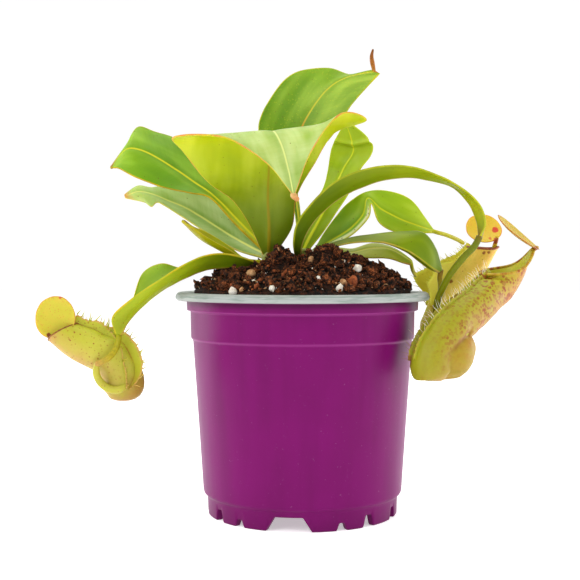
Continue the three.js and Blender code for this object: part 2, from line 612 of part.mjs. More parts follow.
function notchSolid(turn, { half, flare, top }) {
  const low = -1;
  const shape = new THREE.Shape([
    new THREE.Vector2(-half - flare, low),
    new THREE.Vector2(half + flare, low),
    new THREE.Vector2(half + flare, 0),
    new THREE.Vector2(half, top),
    new THREE.Vector2(-half, top),
    new THREE.Vector2(-half - flare, 0),
  ]);
  const cutter = new THREE.ExtrudeGeometry(shape, { depth: 10, bevelEnabled: false });
  cutter.rotateX(Math.PI / 2);
  cutter.translate(0, FOOT_RADIUS + 4, 0);
  cutter.rotateZ(THREE.MathUtils.degToRad(turn + WIDEST_NOTCH_TURN - 90));
  return solid(cutter);
}

// Height of the soil: a dome with two heaps in front of the crowns.
const HEAPS = [
  { x: -11.5, y: -16, height: 8.5, spread: [6, 7] },
  { x: 11, y: -13, height: 9, spread: [11, 10] },
  { x: 30, y: -8, height: 4.5, spread: [14, 14] },
  { x: -34, y: -14, height: 3, spread: [12, 10] },
];

function crumble(x, y) {
  return 1.1 * Math.sin(0.93 * x + 1.3 * Math.sin(0.61 * y)) * Math.cos(0.87 * y + Math.sin(0.52 * x))
    + 0.7 * Math.sin(1.9 * x - 1.3 * y);
}

function soilHeight(x, y) {
  const radius = Math.hypot(x, y);
  const dome = 13.5 * Math.cos(Math.min(1, radius / 52) * (Math.PI / 2)) ** 0.8;
  let height = SOIL_EDGE_HEIGHT + 2 + dome;
  for (const heap of HEAPS) {
    const dx = (x - heap.x) / heap.spread[0];
    const dy = (y - heap.y) / heap.spread[1];
    height += heap.height * Math.exp(-(dx * dx + dy * dy));
  }
  return height + crumble(x, y) * clamp01((52 - radius) / 6);
}

function potInnerRadius(z) {
  const share = clamp01((z - FOOT_HEIGHT) / (POT_HEIGHT - STEP_DROP - FOOT_HEIGHT));
  return THREE.MathUtils.lerp(BODY_FOOT_RADIUS, BODY_TOP_RADIUS - STEP_DEPTH - 0.4, share)
    - POT_WALL - GAP;
}

function soilSolid() {
  const outer = potInnerRadius(POT_HEIGHT);
  const rings = [];
  const ring = (radius, height) => {
    const points = [];
    for (let j = 0; j < SOIL_SPOKES; j++) {
      const turn = (2 * Math.PI * j) / SOIL_SPOKES;
      const x = radius * Math.cos(turn);
      const y = radius * Math.sin(turn);
      points.push(new THREE.Vector3(x, y, height ?? soilHeight(x, y)));
    }
    return points;
  };
  rings.push(ring(potInnerRadius(SOIL_FLOOR + 1) - 2, SOIL_FLOOR));
  rings.push(ring(potInnerRadius(SOIL_FLOOR + 1), SOIL_FLOOR + 1.5));
  rings.push(ring(outer, POT_HEIGHT - STEP_DROP - 2));
  rings.push(ring(outer, SOIL_EDGE_HEIGHT - 3));
  for (let i = 0; i < SOIL_RINGS; i++) rings.push(ring(outer * (1 - i / SOIL_RINGS)));
  return solid(skin(rings));
}

// Coarse crumbs, bark and perlite lumps half sunk in the soil's surface.
function crumbSolids() {
  let seed = 7;
  const random = () => {
    seed = (seed * 16807) % 2147483647;
    return seed / 2147483647;
  };
  const crumbs = [];
  for (let i = 0; i < CRUMB_COUNT; i++) {
    const radius = 47 * Math.sqrt(random());
    const turn = 2 * Math.PI * random();
    const size = 1.5 + 1.7 * random();
    const x = radius * Math.cos(turn);
    const y = radius * Math.sin(turn);
    const crumb = new THREE.IcosahedronGeometry(size, 0);
    crumb.scale(1.2, 0.9, 0.8 + 0.5 * random());
    crumb.rotateX(6 * random());
    crumb.rotateZ(6 * random());
    crumb.translate(x, y, soilHeight(x, y) + 0.15 * size);
    crumbs.push(solid(crumb));
  }
  return crumbs;
}

// A plain round hole in the soil for the foot of a leaf's stalk.
function stalkHole({ rib, left, right }) {
  const stations = [0, 1].map((i) => {
    const width = vec(left[i]).distanceTo(vec(right[i]));
    return [...rib[i], width / 2 + PETIOLE_THICKNESS / 2];
  });
  return rodSolid(stations, 8);
}

function crownSolid([x, y, top], grow = 0) {
  const radius = CROWN_RADIUS + grow;
  const profile = [
    [0, CROWN_FOOT - grow],
    [radius * 0.7, CROWN_FOOT - grow],
    [radius, CROWN_FOOT + 4],
    [radius, top - 1.5],
    [radius * 0.6, top + grow],
    [0, top + grow],
  ].map(([r, z]) => new THREE.Vector2(r, z));
  return solid(new THREE.LatheGeometry(profile, 12).rotateX(Math.PI / 2).translate(x, y, 0));
}

// Colours and finishes seen on the plant
const finish = (color, roughness) =>
  new THREE.MeshStandardMaterial({ color, roughness, metalness: 0 });
const FINISH = {
  pot: finish(0x8a1f78, 0.42),
  soil: finish(0x3b2219, 0.95),
  crown: finish(0x7d8a2a, 0.6),
  front: finish(0x9cb414, 0.45),
  shiny: finish(0x4f9a1d, 0.4),
  pale: finish(0x9fbf7a, 0.45),
  arch: finish(0x6f8e10, 0.45),
  bright: finish(0x84b51c, 0.45),
  pitcher: finish(0xb5b03c, 0.5),
  lid: finish(0xe6d440, 0.5),
};
const LEAF_FINISH = {
  front: "front", upper_back: "shiny", upper_left: "shiny", lower_left: "pale",
  small_left: "arch", low_left: "arch", right_arch: "arch", wrinkled_back: "bright",
  right_middle: "bright", right_low_arch: "arch", right_lowest: "bright",
};
const TENDRIL_ENDS = {
  low_left: "left", right_arch: "front_right", right_low_arch: "back_right",
  right_middle: "back_right", right_lowest: "back_right",
};

const plant = new THREE.Group();

function place(name, body, material) {
  const mesh = new THREE.Mesh(geometryFrom(mainPiece(body).simplify(FINEST_EDGE)), material);
  mesh.name = name;
  plant.add(mesh);
}

const crownRoom = Object.values(CROWNS).map((crown) => crownSolid(crown, GAP));
const pitcherRoom = {};
for (const [name, pitcher] of Object.entries(PITCHERS)) {
  pitcherRoom[name] = pitcherSolid(pitcher, 1.5 * GAP);
}
const leafRoom = Object.values(LEAVES).flatMap((leaf) => [leafSolid(leaf, GAP), stalkHole(leaf)]);

place("pot", potSolid(), FINISH.pot);
const soil = joined([soilSolid(), ...crumbSolids()]);
place("soil", cleared(soil, [...crownRoom, ...leafRoom]), FINISH.soil);
for (const [name, crown] of Object.entries(CROWNS)) {
  place(`crown_${name}`, crownSolid(crown), FINISH.crown);
}
for (const [name, leaf] of Object.entries(LEAVES)) {
  const around = [...crownRoom];
  if (TENDRIL_ENDS[name]) around.push(pitcherRoom[TENDRIL_ENDS[name]]);
  place(`leaf_${name}`, cleared(leafSolid(leaf), around), FINISH[LEAF_FINISH[name]]);
}
for (const [name, pitcher] of Object.entries(PITCHERS)) {
  place(`pitcher_${name}`, pitcherSolid(pitcher).subtract(pitcherHollow(pitcher)), FINISH.pitcher);
  place(`lid_${name}`, lidSolid(LIDS[name]).subtract(pitcherRoom[name]), FINISH.lid);
}

export default plant;
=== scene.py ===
# A young pitcher plant with arching leaves and hanging lidded pitchers, in a plastic
# nursery pot. The sections follow the plant as it is potted: studio, pot, soil, crowns,
# leaves, pitchers with their wings and hairs, and lids.
import math
import random

import bmesh
import bpy
from mathutils import Matrix, Vector, noise


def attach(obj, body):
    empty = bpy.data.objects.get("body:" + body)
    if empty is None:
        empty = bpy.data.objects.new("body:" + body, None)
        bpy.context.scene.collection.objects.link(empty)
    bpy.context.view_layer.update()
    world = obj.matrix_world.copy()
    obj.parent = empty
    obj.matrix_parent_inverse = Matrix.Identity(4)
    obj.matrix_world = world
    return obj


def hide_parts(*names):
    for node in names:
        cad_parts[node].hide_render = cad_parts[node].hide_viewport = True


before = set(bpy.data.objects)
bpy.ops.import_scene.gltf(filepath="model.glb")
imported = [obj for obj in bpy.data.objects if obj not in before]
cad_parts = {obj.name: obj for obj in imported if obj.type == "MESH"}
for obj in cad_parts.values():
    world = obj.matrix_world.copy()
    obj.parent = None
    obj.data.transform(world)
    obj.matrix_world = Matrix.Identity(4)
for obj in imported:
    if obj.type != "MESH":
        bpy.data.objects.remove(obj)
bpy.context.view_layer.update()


# Studio: a white floor, a white tent that only the camera sees, large soft lamps on both
# sides, above and behind, and a nearly level camera half a metre away, a little over the rim.
MM = 0.001
CAMERA_PLACE = (-5.87, -521.7, 117.3)
CAMERA_DIP = 0.024
FOCAL_PIXELS = 1101.75
PHOTO_WIDTH = 580
SENSOR_WIDTH = 36


def add_object(name, data):
    """A new object in the scene that shows the data."""
    thing = bpy.data.objects.new(name, data)
    bpy.context.collection.objects.link(thing)
    return thing


camera = add_object("camera", bpy.data.cameras.new("camera"))
camera.location = Vector(CAMERA_PLACE) * MM
camera.rotation_euler = (math.pi / 2 - CAMERA_DIP, 0, 0)
camera.data.sensor_width = SENSOR_WIDTH
camera.data.lens = SENSOR_WIDTH * FOCAL_PIXELS / PHOTO_WIDTH
camera.data.clip_start = 0.01
bpy.context.scene.camera = camera

# Lamps: place and size in metres, and power; all are turned to the middle of the plant
LAMPS = {
    "lamp_left": ((-0.7, -0.8, 0.8), 0.7, 7),
    "lamp_right": ((0.95, -0.5, 0.55), 0.8, 3),
    "lamp_above": ((-0.1, 0.1, 1.1), 0.9, 6),
    "lamp_behind": ((0.3, 1.0, 0.6), 1.0, 1.5),
    "lamp_low_left": ((-0.8, 0.25, 0.2), 0.5, 4),
    "lamp_low_right": ((0.8, 0.25, 0.2), 0.5, 4),
}
PLANT_MIDDLE = Vector((0, 0, 0.12))
for name, (place, size, power) in LAMPS.items():
    light = bpy.data.lights.new(name, "AREA")
    light.energy = power
    light.size = size
    holder = add_object(name, light)
    holder.location = place
    holder.rotation_euler = (PLANT_MIDDLE - holder.location).to_track_quat("-Z", "Y").to_euler()

SKY_STRENGTH = 0.68
sky = bpy.context.scene.world or bpy.data.worlds.new("sky")
bpy.context.scene.world = sky
sky.use_nodes = True
sky.node_tree.nodes["Background"].inputs["Color"].default_value = (1, 1, 1, 1)
sky.node_tree.nodes["Background"].inputs["Strength"].default_value = SKY_STRENGTH
bpy.context.scene.view_settings.view_transform = "Standard"

FLOOR_HALF = 4.0
TENT_RADIUS = 6.0


def mesh_of(name, bm):
    """A mesh with the form of the bmesh, which is used up."""
    mesh = bpy.data.meshes.new(name)
    bm.to_mesh(mesh)
    bm.free()
    return mesh


def studio_surface(name, bm, grey, glow):
    """A matt surface that glows a little."""
    surface = add_object(name, mesh_of(name, bm))
    white = bpy.data.materials.new(name + "_white")
    white.use_nodes = True
    sockets = white.node_tree.nodes["Principled BSDF"].inputs
    sockets["Base Color"].default_value = (grey, grey, grey, 1)
    sockets["Roughness"].default_value = 0.9
    sockets["Emission Color"].default_value = (1, 1, 1, 1)
    sockets["Emission Strength"].default_value = glow
    surface.data.materials.append(white)
    return surface


floor_mesh = bmesh.new()
bmesh.ops.create_grid(floor_mesh, x_segments=1, y_segments=1, size=FLOOR_HALF)
floor = studio_surface("floor", floor_mesh, 0.95, 0.45)

tent_mesh = bmesh.new()
bmesh.ops.create_icosphere(tent_mesh, subdivisions=3, radius=TENT_RADIUS)
tent = studio_surface("tent", tent_mesh, 0, 1)
for sight in ("visible_diffuse", "visible_glossy", "visible_transmission", "visible_shadow"):
    setattr(tent, sight, False)


# Pot: one thin sheet of thermoformed plastic, with a rolled rim, a band under it, a step in
# the wall, a raised floor with drain holes, and a foot cut into tabs by notches.
RIM_RADIUS = 60
POT_HEIGHT = 104
BAND_RADIUS = 54.6
BAND_UNDER = 95.4
BODY_TOP_RADIUS = 52.8
STEP_HEIGHT = 82
BODY_FOOT_RADIUS = 46.8
FOOT_HEIGHT = 9.6
FOOT_RADIUS = 44.6
FOOT_WALL = 3.2
FLOOR_UNDERSIDE = 7.4
POT_WALL = 1.2
DRAIN_HOLES = 6
DRAIN_HOLE_RADIUS = 4
DRAIN_CIRCLE_RADIUS = 34
DRAIN_SIDES = 28
RIM_UNDER = 100.1
# Notches of one half turn: angle from the widest, half width at the top, flare, height
FOOT_NOTCHES = [(0, 6.4, 4, 6.4), (31, 1.3, 1.2, 3.4), (49.5, 1.8, 1.4, 5.4),
                (75.5, 1.8, 1.4, 5.4), (104.5, 1.8, 1.4, 5.4), (130.5, 1.8, 1.4, 5.4),
                (149, 1.3, 1.2, 3.4)]
WIDEST_NOTCH_TURN = -98.5
# Section from the floor's underside out, up and in again: radius, height, corner rounding
POT_SECTION = [
    (FOOT_RADIUS - FOOT_WALL, FLOOR_UNDERSIDE, 0.5), (FOOT_RADIUS - FOOT_WALL, 0, 0.6),
    (FOOT_RADIUS, 0, 0.8), (FOOT_RADIUS + 0.3, FOOT_HEIGHT - 0.9, 1.2),
    (BODY_FOOT_RADIUS, FOOT_HEIGHT + 0.6, 1.4),
    (BODY_TOP_RADIUS - 1.2, STEP_HEIGHT - 0.5, 0.8),
    (BODY_TOP_RADIUS - 0.2, STEP_HEIGHT + 0.5, 0.8),
    (BODY_TOP_RADIUS, BAND_UNDER, 0.3), (BAND_RADIUS - 0.2, BAND_UNDER + 0.1, 0.35),
    (BAND_RADIUS, RIM_UNDER + 0.1, 0.8), (RIM_RADIUS - 0.7, RIM_UNDER, 1.2), (RIM_RADIUS, 102, 1.0),
    (RIM_RADIUS - 1.3, POT_HEIGHT, 1.1), (BODY_TOP_RADIUS + 1.4, POT_HEIGHT - 0.1, 1.2),
    (BODY_TOP_RADIUS - POT_WALL, 96, 2.5),
    (BODY_TOP_RADIUS - POT_WALL - 1.2, STEP_HEIGHT - 1, 1),
    (BODY_FOOT_RADIUS - POT_WALL, FOOT_HEIGHT + 0.4, 1.2),
    (FOOT_RADIUS - POT_WALL, FLOOR_UNDERSIDE + POT_WALL, 0.6),
]
ARC_STEPS = 4
WELD = 2e-6
CLOSEST_STATIONS = 0.12


def rounded_section(corners):
    """The section's points, with each corner turned into a short arc."""
    points = []
    for i, (radius, height, rounding) in enumerate(corners):
        corner = Vector((radius, height))
        ends = []
        for j in (i - 1, i + 1):
            other = corners[j] if 0 <= j < len(corners) else (0, corner.y)
            way = Vector(other[:2]) - corner
            ends.append(corner + way.normalized() * min(rounding, way.length * 0.45))
        for k in range(ARC_STEPS + 1):
            share = k / ARC_STEPS
            points.append(ends[0].lerp(corner, share).lerp(corner.lerp(ends[1], share), share))
    return points


def closed_skin(around, along, form, marks=(), whole=None):
    """A grid bent into a closed skin: form gives each point and its marks, the seam is welded."""
    bm = whole or bmesh.new()
    if whole is None:
        bm.loops.layers.uv.new("UVMap")
        for mark in marks:
            bm.verts.layers.float.new(mark)
    layers = [bm.verts.layers.float[mark] for mark in marks]
    grid = bmesh.ops.create_grid(bm, x_segments=around, y_segments=along, size=1, calc_uvs=True)
    for vertex in grid["verts"]:
        place, *values = form((vertex.co.x + 1) / 2, (vertex.co.y + 1) / 2)
        vertex.co = place * MM
        for layer, value in zip(layers, values):
            vertex[layer] = value
    bmesh.ops.remove_doubles(bm, verts=grid["verts"], dist=WELD)
    bmesh.ops.holes_fill(bm, edges=[edge for edge in bm.edges if edge.is_boundary], sides=0)
    bmesh.ops.recalc_face_normals(bm, faces=bm.faces)
    return bm


def ring_point(radius, turn, height):
    """The point at a radius and turn round the pot's axis."""
    return Vector((radius * math.cos(turn), radius * math.sin(turn), height))


def add_piece(name, bm, finish, replaces=()):
    """A finished mesh as an object that rides with the pot and may stand for solids."""
    mesh = mesh_of(name, bm)
    mesh.materials.append(finish)
    for face in mesh.polygons:
        face.use_smooth = True
    piece = add_object(name, mesh)
    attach(piece, "root")
    if replaces:
        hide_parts(*replaces)
    return piece


def held(value):
    """A number kept between 0 and 1."""
    return min(1, max(0, value))


def foot_lift(turn):
    """How high the foot's lower edge stands at an angle in degrees."""
    lift = 0
    for angle, half, flare, top in FOOT_NOTCHES:
        for middle in (angle, angle + 180):
            off = (turn - middle - WIDEST_NOTCH_TURN + 180) % 360 - 180
            across = abs(math.radians(off)) * FOOT_RADIUS
            lift = max(lift, top * held((half + flare - across) / flare))
    return lift


def foot_stations():
    """Angles round the pot, evenly spaced and closer at the notches' corners."""
    turns = list(range(0, 360, 2))
    for angle, half, flare, _ in FOOT_NOTCHES:
        for middle in (angle, angle + 180):
            for width in (half, half + flare):
                for nudge in (-0.5, -0.25, 0, 0.25, 0.5):
                    for side in (-1, 1):
                        off = math.degrees(side * (width + nudge) / FOOT_RADIUS)
                        turns.append((middle + WIDEST_NOTCH_TURN + off) % 360)
    turns.sort()
    kept = [turns[0]]
    for turn in turns[1:]:
        if turn - kept[-1] > CLOSEST_STATIONS:
            kept.append(turn)
    return kept + [kept[0] + 360]


def smooth_lift(turn):
    """The lower edge with its corners softened over half a millimetre."""
    step = math.degrees(0.3 / FOOT_RADIUS)
    return sum(foot_lift(turn + k * step) for k in (-1, 0, 1)) / 3


section = rounded_section(POT_SECTION)
stations = foot_stations()
lifts = [smooth_lift(turn) for turn in stations]


def pot_form(a, b):
    """The pot's skin, with its section closed on the axis and its foot lifted at the notches."""
    i = round(a * (len(stations) - 1))
    j = round(b * (len(section) + 1))
    if j in (0, len(section) + 1):
        end = section[0] if j == 0 else section[-1]
        return (Vector((0, 0, end.y)),)
    radius, height = section[j - 1]
    if height < FLOOR_UNDERSIDE:
        height = lifts[i] + height * (FLOOR_UNDERSIDE - lifts[i]) / FLOOR_UNDERSIDE
    return (ring_point(radius, math.radians(stations[i]), height),)


def paint(code):
    """A colour written as in a web page, made linear."""
    parts = [int(code[k:k + 2], 16) / 255 for k in (0, 2, 4)]
    return (*(p / 12.92 if p < 0.04045 else ((p + 0.055) / 1.055) ** 2.4 for p in parts), 1)


class Signal:
    """One value or colour inside a finish; arithmetic on it adds Math nodes."""

    def __init__(self, finish, socket):
        self.finish = finish
        self.socket = socket

    def joined(self, operation, first, second, clamp=False):
        """Two values put together by a Math node."""
        settings = {"operation": operation, "use_clamp": clamp}
        return self.finish.node("ShaderNodeMath", settings, {0: first, 1: second})

    def __add__(self, other):
        return self.joined("ADD", self, other)

    def __sub__(self, other):
        return self.joined("SUBTRACT", self, other)

    def __rsub__(self, other):
        return self.joined("SUBTRACT", other, self)

    def __mul__(self, other):
        return self.joined("MULTIPLY", self, other)

    def __truediv__(self, other):
        return self.joined("DIVIDE", self, other)

    def __pow__(self, other):
        return self.joined("POWER", self, other)

    def __neg__(self):
        return self * -1.0

    def held(self):
        """The value kept between 0 and 1."""
        return self.joined("ADD", self, 0.0, clamp=True)

    def below(self, limit, blur):
        """1 where the value is under the limit, fading to 0 over the blur."""
        return ((limit - self) / blur + 0.5).held()

    def above(self, limit, blur):
        """1 where the value is over the limit, fading to 0 over the blur."""
        return 1.0 - self.below(limit, blur)

    __radd__ = __add__
    __rmul__ = __mul__


class Finish:
    """A procedural material with its nodes."""

    def __init__(self, name, **constants):
        self.material = bpy.data.materials.new(name)
        self.material.use_nodes = True
        self.tree = self.material.node_tree
        self.shader = self.tree.nodes["Principled BSDF"]
        self.surface(**constants)

    def node(self, kind, settings, values, output=0):
        """A node with its settings, fed with values, as the signal of one of its outputs."""
        node = self.tree.nodes.new(kind)
        for key, value in settings.items():
            if key == "stops":
                self.place_stops(node.color_ramp, value)
            else:
                setattr(node, key, value)
        for key, value in values.items():
            self.feed(node.inputs[key], value)
        return Signal(self, node.outputs[output])

    def place_stops(self, ramp, stops):
        """A ramp's stops, each a place from 0 to 1 and a colour."""
        while len(ramp.elements) < len(stops):
            ramp.elements.new(0.5)
        for element, (place, colour) in zip(ramp.elements, stops):
            element.position = place
            element.color = colour

    def feed(self, socket, value):
        """A signal is linked to the socket, and a constant is set on it."""
        if isinstance(value, Signal):
            self.tree.links.new(value.socket, socket)
        else:
            socket.default_value = value

    def surface(self, **values):
        """Signals and constants fed into the shader."""
        for socket, value in values.items():
            self.feed(self.shader.inputs[socket.replace("_", " ")], value)

    def mark(self, name):
        """A value that the mesh carries at each corner."""
        return self.node("ShaderNodeAttribute", {"attribute_name": name}, {}, "Fac")

    def place(self):
        """The point on the piece in millimetres."""
        point = self.node("ShaderNodeTexCoord", {}, {}, "Object")
        return self.node("ShaderNodeVectorMath", {"operation": "SCALE"}, {0: point, 3: 1 / MM})

    def parts(self, point):
        """A vector's x, y and z."""
        split = self.node("ShaderNodeSeparateXYZ", {}, {0: point})
        return [Signal(self, output) for output in split.socket.node.outputs]

    def gap(self, point, centre):
        """How far the point is from a centre."""
        settings = {"operation": "DISTANCE"}
        return self.node("ShaderNodeVectorMath", settings, {0: point, 1: centre}, "Value")

    def vector(self, x, y, z):
        """Three values as one vector."""
        return self.node("ShaderNodeCombineXYZ", {}, {0: x, 1: y, 2: z})

    def grain(self, place, size, detail, roughness=0.55):
        """Noise between 0 and 1 whose features are size millimetres wide."""
        values = {"Vector": place, "Scale": 1 / size, "Detail": detail, "Roughness": roughness}
        return self.node("ShaderNodeTexNoise", {}, values)

    def cells(self, place, size):
        """How far a point is from the nearest of points strewn size millimetres apart."""
        values = {"Vector": place, "Scale": 1 / size}
        return self.node("ShaderNodeTexVoronoi", {}, values, "Distance")

    def blend(self, share, first, second, mode="MIX"):
        """The first colour with a share of the second, where either may be a written code."""
        first, second = (paint(c) if isinstance(c, str) else c for c in (first, second))
        settings = {"data_type": "RGBA", "blend_type": mode, "clamp_factor": True}
        return self.node("ShaderNodeMix", settings, {0: share, 6: first, 7: second}, 2)

    def relief(self, *layers):
        """Bumps from the lowest up, each a height, a strength and its millimetres."""
        bump = None
        for height, strength, distance in layers:
            values = {"Height": height, "Strength": strength, "Distance": distance * MM}
            if bump:
                values["Normal"] = bump
            bump = self.node("ShaderNodeBump", {}, values)
        return bump


def pot_finish():
    """Satin purple sheet, cloudy and finely grained, with a grey-green rim, painted highlights
    along the band's ledge and the step, and a painted shadow under the rim.
    """
    finish = Finish("pot_plastic", Specular_IOR_Level=0.1)
    point = finish.place()
    x, y, z = finish.parts(point)
    cloud = finish.grain(point, 26, 3)
    streak = finish.grain(finish.vector(x * 0.5, y * 0.5, z * 0.04), 5, 3)
    grain = finish.grain(point, 0.5, 2)
    dust = finish.grain(point, 1.4, 5, 0.7)
    purple = finish.blend(cloud, "640250", "70025c")
    purple = finish.blend(streak.below(0.42, 0.2) * 0.25, purple, "520042")
    purple = finish.blend((1.0 - (z / 12.0).held()) * 0.35, purple, "480038")
    dusty = dust.above(0.68, 0.06) * z.below(99, 30)
    purple = finish.blend(dusty * 0.18, purple, "c79bc0")
    radius = (x * x + y * y) ** 0.5
    bands = finish.grain(finish.vector(0.0, 0.0, z), 0.55, 2)
    smear = finish.grain(finish.vector(x * 0.1, y * 0.1, z), 1.3, 3)
    rim = finish.blend(bands, "7c8480", "b0b4b0")
    rim = finish.blend(smear.below(0.45, 0.15) * 0.6, rim, "62766a")
    # Painted highlights: lighter lines along the band's lower ledge and along the step in the wall.
    ledge_highlights = z.below(BAND_UNDER + 0.5, 0.3) * z.above(BAND_UNDER - 0.7, 0.4)
    step = z.below(STEP_HEIGHT + 0.7, 0.4) * z.above(STEP_HEIGHT - 0.3, 0.5)
    ledge_highlights = ledge_highlights + step * 0.7
    purple = finish.blend(ledge_highlights * 0.4, purple, "a0408c")
    # Painted shadow: the wall just under the rolled rim is darkened towards deep purple.
    rim_shadow = z.above(RIM_UNDER - 1.9, 2.0) * 0.6
    purple = finish.blend(rim_shadow, purple, "380028")
    outside = radius.above(BODY_TOP_RADIUS - 0.3, 0.6)
    rim_mask = z.above(RIM_UNDER + 0.25, 0.25) * outside
    inside = radius.below(BODY_TOP_RADIUS - 1.4, 0.3) * z.above(90, 4)
    colour = finish.blend(rim_mask, purple, rim)
    colour = finish.blend(inside, colour, "3c0a34")
    bump = finish.relief((grain, 0.12, 0.08), (streak, 0.2, 0.25))
    finish.surface(Base_Color=colour, Roughness=0.36 + grain * 0.08 + dusty * 0.2, Normal=bump)
    return finish.material


pot_mesh = closed_skin(len(stations) - 1, len(section) + 1, pot_form)
pot = add_piece("nursery_pot", pot_mesh, pot_finish(), ["pot"])


def cut_away(piece, cutter):
    """The cutter's shape is taken out of the piece, and the cutter is thrown away."""
    cutting = add_object("cutting", mesh_of("cutting", cutter))
    modifier = piece.modifiers.new("cut", "BOOLEAN")
    modifier.object = cutting
    modifier.solver = "EXACT"
    graph = bpy.context.evaluated_depsgraph_get()
    shaped = bpy.data.meshes.new_from_object(piece.evaluated_get(graph))
    piece.modifiers.clear()
    old = piece.data
    piece.data = shaped
    shaped.name = old.name
    bpy.data.meshes.remove(old)
    bpy.data.objects.remove(cutting)


drain = bmesh.new()
for k in range(DRAIN_HOLES):
    turn = 2 * math.pi * k / DRAIN_HOLES
    centre = ring_point(DRAIN_CIRCLE_RADIUS, turn, FLOOR_UNDERSIDE + POT_WALL / 2) * MM
    radius = DRAIN_HOLE_RADIUS * MM
    bmesh.ops.create_cone(drain, cap_ends=True, segments=DRAIN_SIDES, radius1=radius,
                          radius2=radius, depth=8 * MM, matrix=Matrix.Translation(centre))
cut_away(pot, drain)


# Soil: moist peat heaped over the rim, crumbly and dark, with nearly black patches that are partly
# painted shade between its clods and rust-brown flecks that are partly painted highlights, mixed
# with bark chips, grit and white perlite. It fills the pot down to its floor.
SOIL_RADIUS = 51.0
SOIL_EDGE = 103.5
SOIL_SIDES = 260
SOIL_ROWS = 140
SOIL_DOME = 13.5
DOME_RADIUS = 52
CLOD_WIDTH = 4.5
CLOD_HEIGHT = 1.1
STREWN_RADIUS = 50.0
# The soil against the pot's inside, from the middle of the floor up: radius and height
SOIL_WALL = [(0, 9), (20, 9), (42.6, 9), (44.6, 10.5), (49.6, 79.5), (50.9, 84), (51, 94)]
# Heaps around the crowns: x, y, height, spread in x and in y
HEAPS = [(-11.5, -16, 8.5, 6, 7), (11, -13, 9, 11, 10), (30, -8, 4.5, 14, 14),
         (-34, -14, 3, 12, 10)]
random.seed(11)


def soil_height(x, y):
    """A dome with heaps and clods, its clods fading out at the edge."""
    radius = math.hypot(x, y)
    height = SOIL_EDGE + SOIL_DOME * math.cos(min(1, radius / DOME_RADIUS) * math.pi / 2) ** 0.8
    for middle_x, middle_y, rise, spread_x, spread_y in HEAPS:
        off_x, off_y = (x - middle_x) / spread_x, (y - middle_y) / spread_y
        height += rise * math.exp(-(off_x ** 2 + off_y ** 2))
    clods = noise.fractal(Vector((x, y, 0)) / CLOD_WIDTH, 0.8, 2.1, 4)
    return height + CLOD_HEIGHT * clods * min(1, (DOME_RADIUS + 0.5 - radius) / 5)


def soil_form(a, b):
    """The soil's wall and floor against the pot, then its surface from the edge inwards."""
    turn = 2 * math.pi * a
    row = round(b * SOIL_ROWS)
    if row < len(SOIL_WALL):
        radius, height = SOIL_WALL[row]
        return (ring_point(radius, turn, height),)
    point = ring_point(SOIL_RADIUS * (SOIL_ROWS - row) / (SOIL_ROWS - len(SOIL_WALL)), turn, 0)
    point.z = soil_height(point.x, point.y)
    return (point,)


def soil_finish(name, dark, brown, rust):
    """Matt crumbly matter whose colour runs from nearly black, partly painted shade between clods,
    to rust, partly painted highlights on their tops.
    """
    finish = Finish(name, Specular_IOR_Level=0.25, Roughness=0.95)
    point = finish.place()
    clods = finish.grain(point, 2.6, 5, 0.7)
    fine = finish.grain(point, 0.7, 4, 0.7)
    # Nearly black where the clod noise is low: partly the peat's own colour, partly painted shade
    # between clods.
    colour = finish.blend((clods * 5.0 - 2.1).held(), dark, brown)
    # Rust on the clod tops: partly the peat's own colour, partly painted highlights.
    rust_and_highlights = ((fine - 0.48) * 7).held() * (clods * 5.0 - 2.2).held()
    colour = finish.blend(rust_and_highlights, colour, rust)
    finish.surface(Base_Color=colour, Normal=finish.relief((fine, 1.0, 0.7)))
    return finish.material


def add_lumps(bm, count, sizes, detail, sink, squash):
    """Rough lumps strewn over the soil and half sunk in it."""
    for _ in range(count):
        radius = STREWN_RADIUS * math.sqrt(random.random())
        place = ring_point(radius, 2 * math.pi * random.random(), 0)
        size = random.uniform(*sizes)
        place.z = soil_height(place.x, place.y) + sink * size
        add_lump(bm, place, size, detail, squash)


def pattern_of(bm):
    """A small shape as a mesh of its own, and its corners, from which copies are made."""
    mesh = mesh_of("pattern", bm)
    return mesh, [vertex.co.copy() for vertex in mesh.vertices]


def add_copy(bm, pattern, shaped):
    """A copy of the pattern with each corner moved as shaped says, in millimetres."""
    mesh, corners = pattern
    mesh.vertices.foreach_set("co", [c for corner in corners for c in shaped(corner) * MM])
    bm.from_mesh(mesh)


BALLS = {}
for detail in (1, 2):
    ball = bmesh.new()
    bmesh.ops.create_icosphere(ball, subdivisions=detail, radius=1)
    BALLS[detail] = pattern_of(ball)


def add_lump(bm, place, size, detail, squash, knocks=0.9):
    """One rough lump: a ball knocked out of round and turned at random."""
    angle = random.random() * 6.3
    axis = Vector((random.random(), random.random(), 0.7))
    turned = Matrix.Rotation(angle, 4, axis)
    shift = Vector((random.random(), random.random(), random.random())) * 50

    def shaped(corner):
        rough = 1 + knocks * noise.fractal(corner * 1.5 + shift, 0.9, 2.1, 2)
        return turned @ Vector(corner[k] * rough * squash[k] for k in range(3)) * size + place
    add_copy(bm, BALLS[detail], shaped)


soil_mesh = closed_skin(SOIL_SIDES, SOIL_ROWS, soil_form)
soil_brown = soil_finish("peat", "080402", "2c160b", "5c2c14")
add_piece("soil_ground", soil_mesh, soil_brown, ["soil"])

crumbs = bmesh.new()
add_lumps(crumbs, 650, (0.9, 2.3), 2, 0.5, (1.3, 0.9, 0.65))
add_lumps(crumbs, 2700, (0.35, 0.9), 1, 0.8, (1.7, 0.8, 0.6))
# The crumbs' bright rust is partly painted highlights.
crumb_finish = soil_finish("peat_crumbs", "0c0502", "562c16", "c46c38")
add_piece("soil_crumbs", crumbs, crumb_finish)


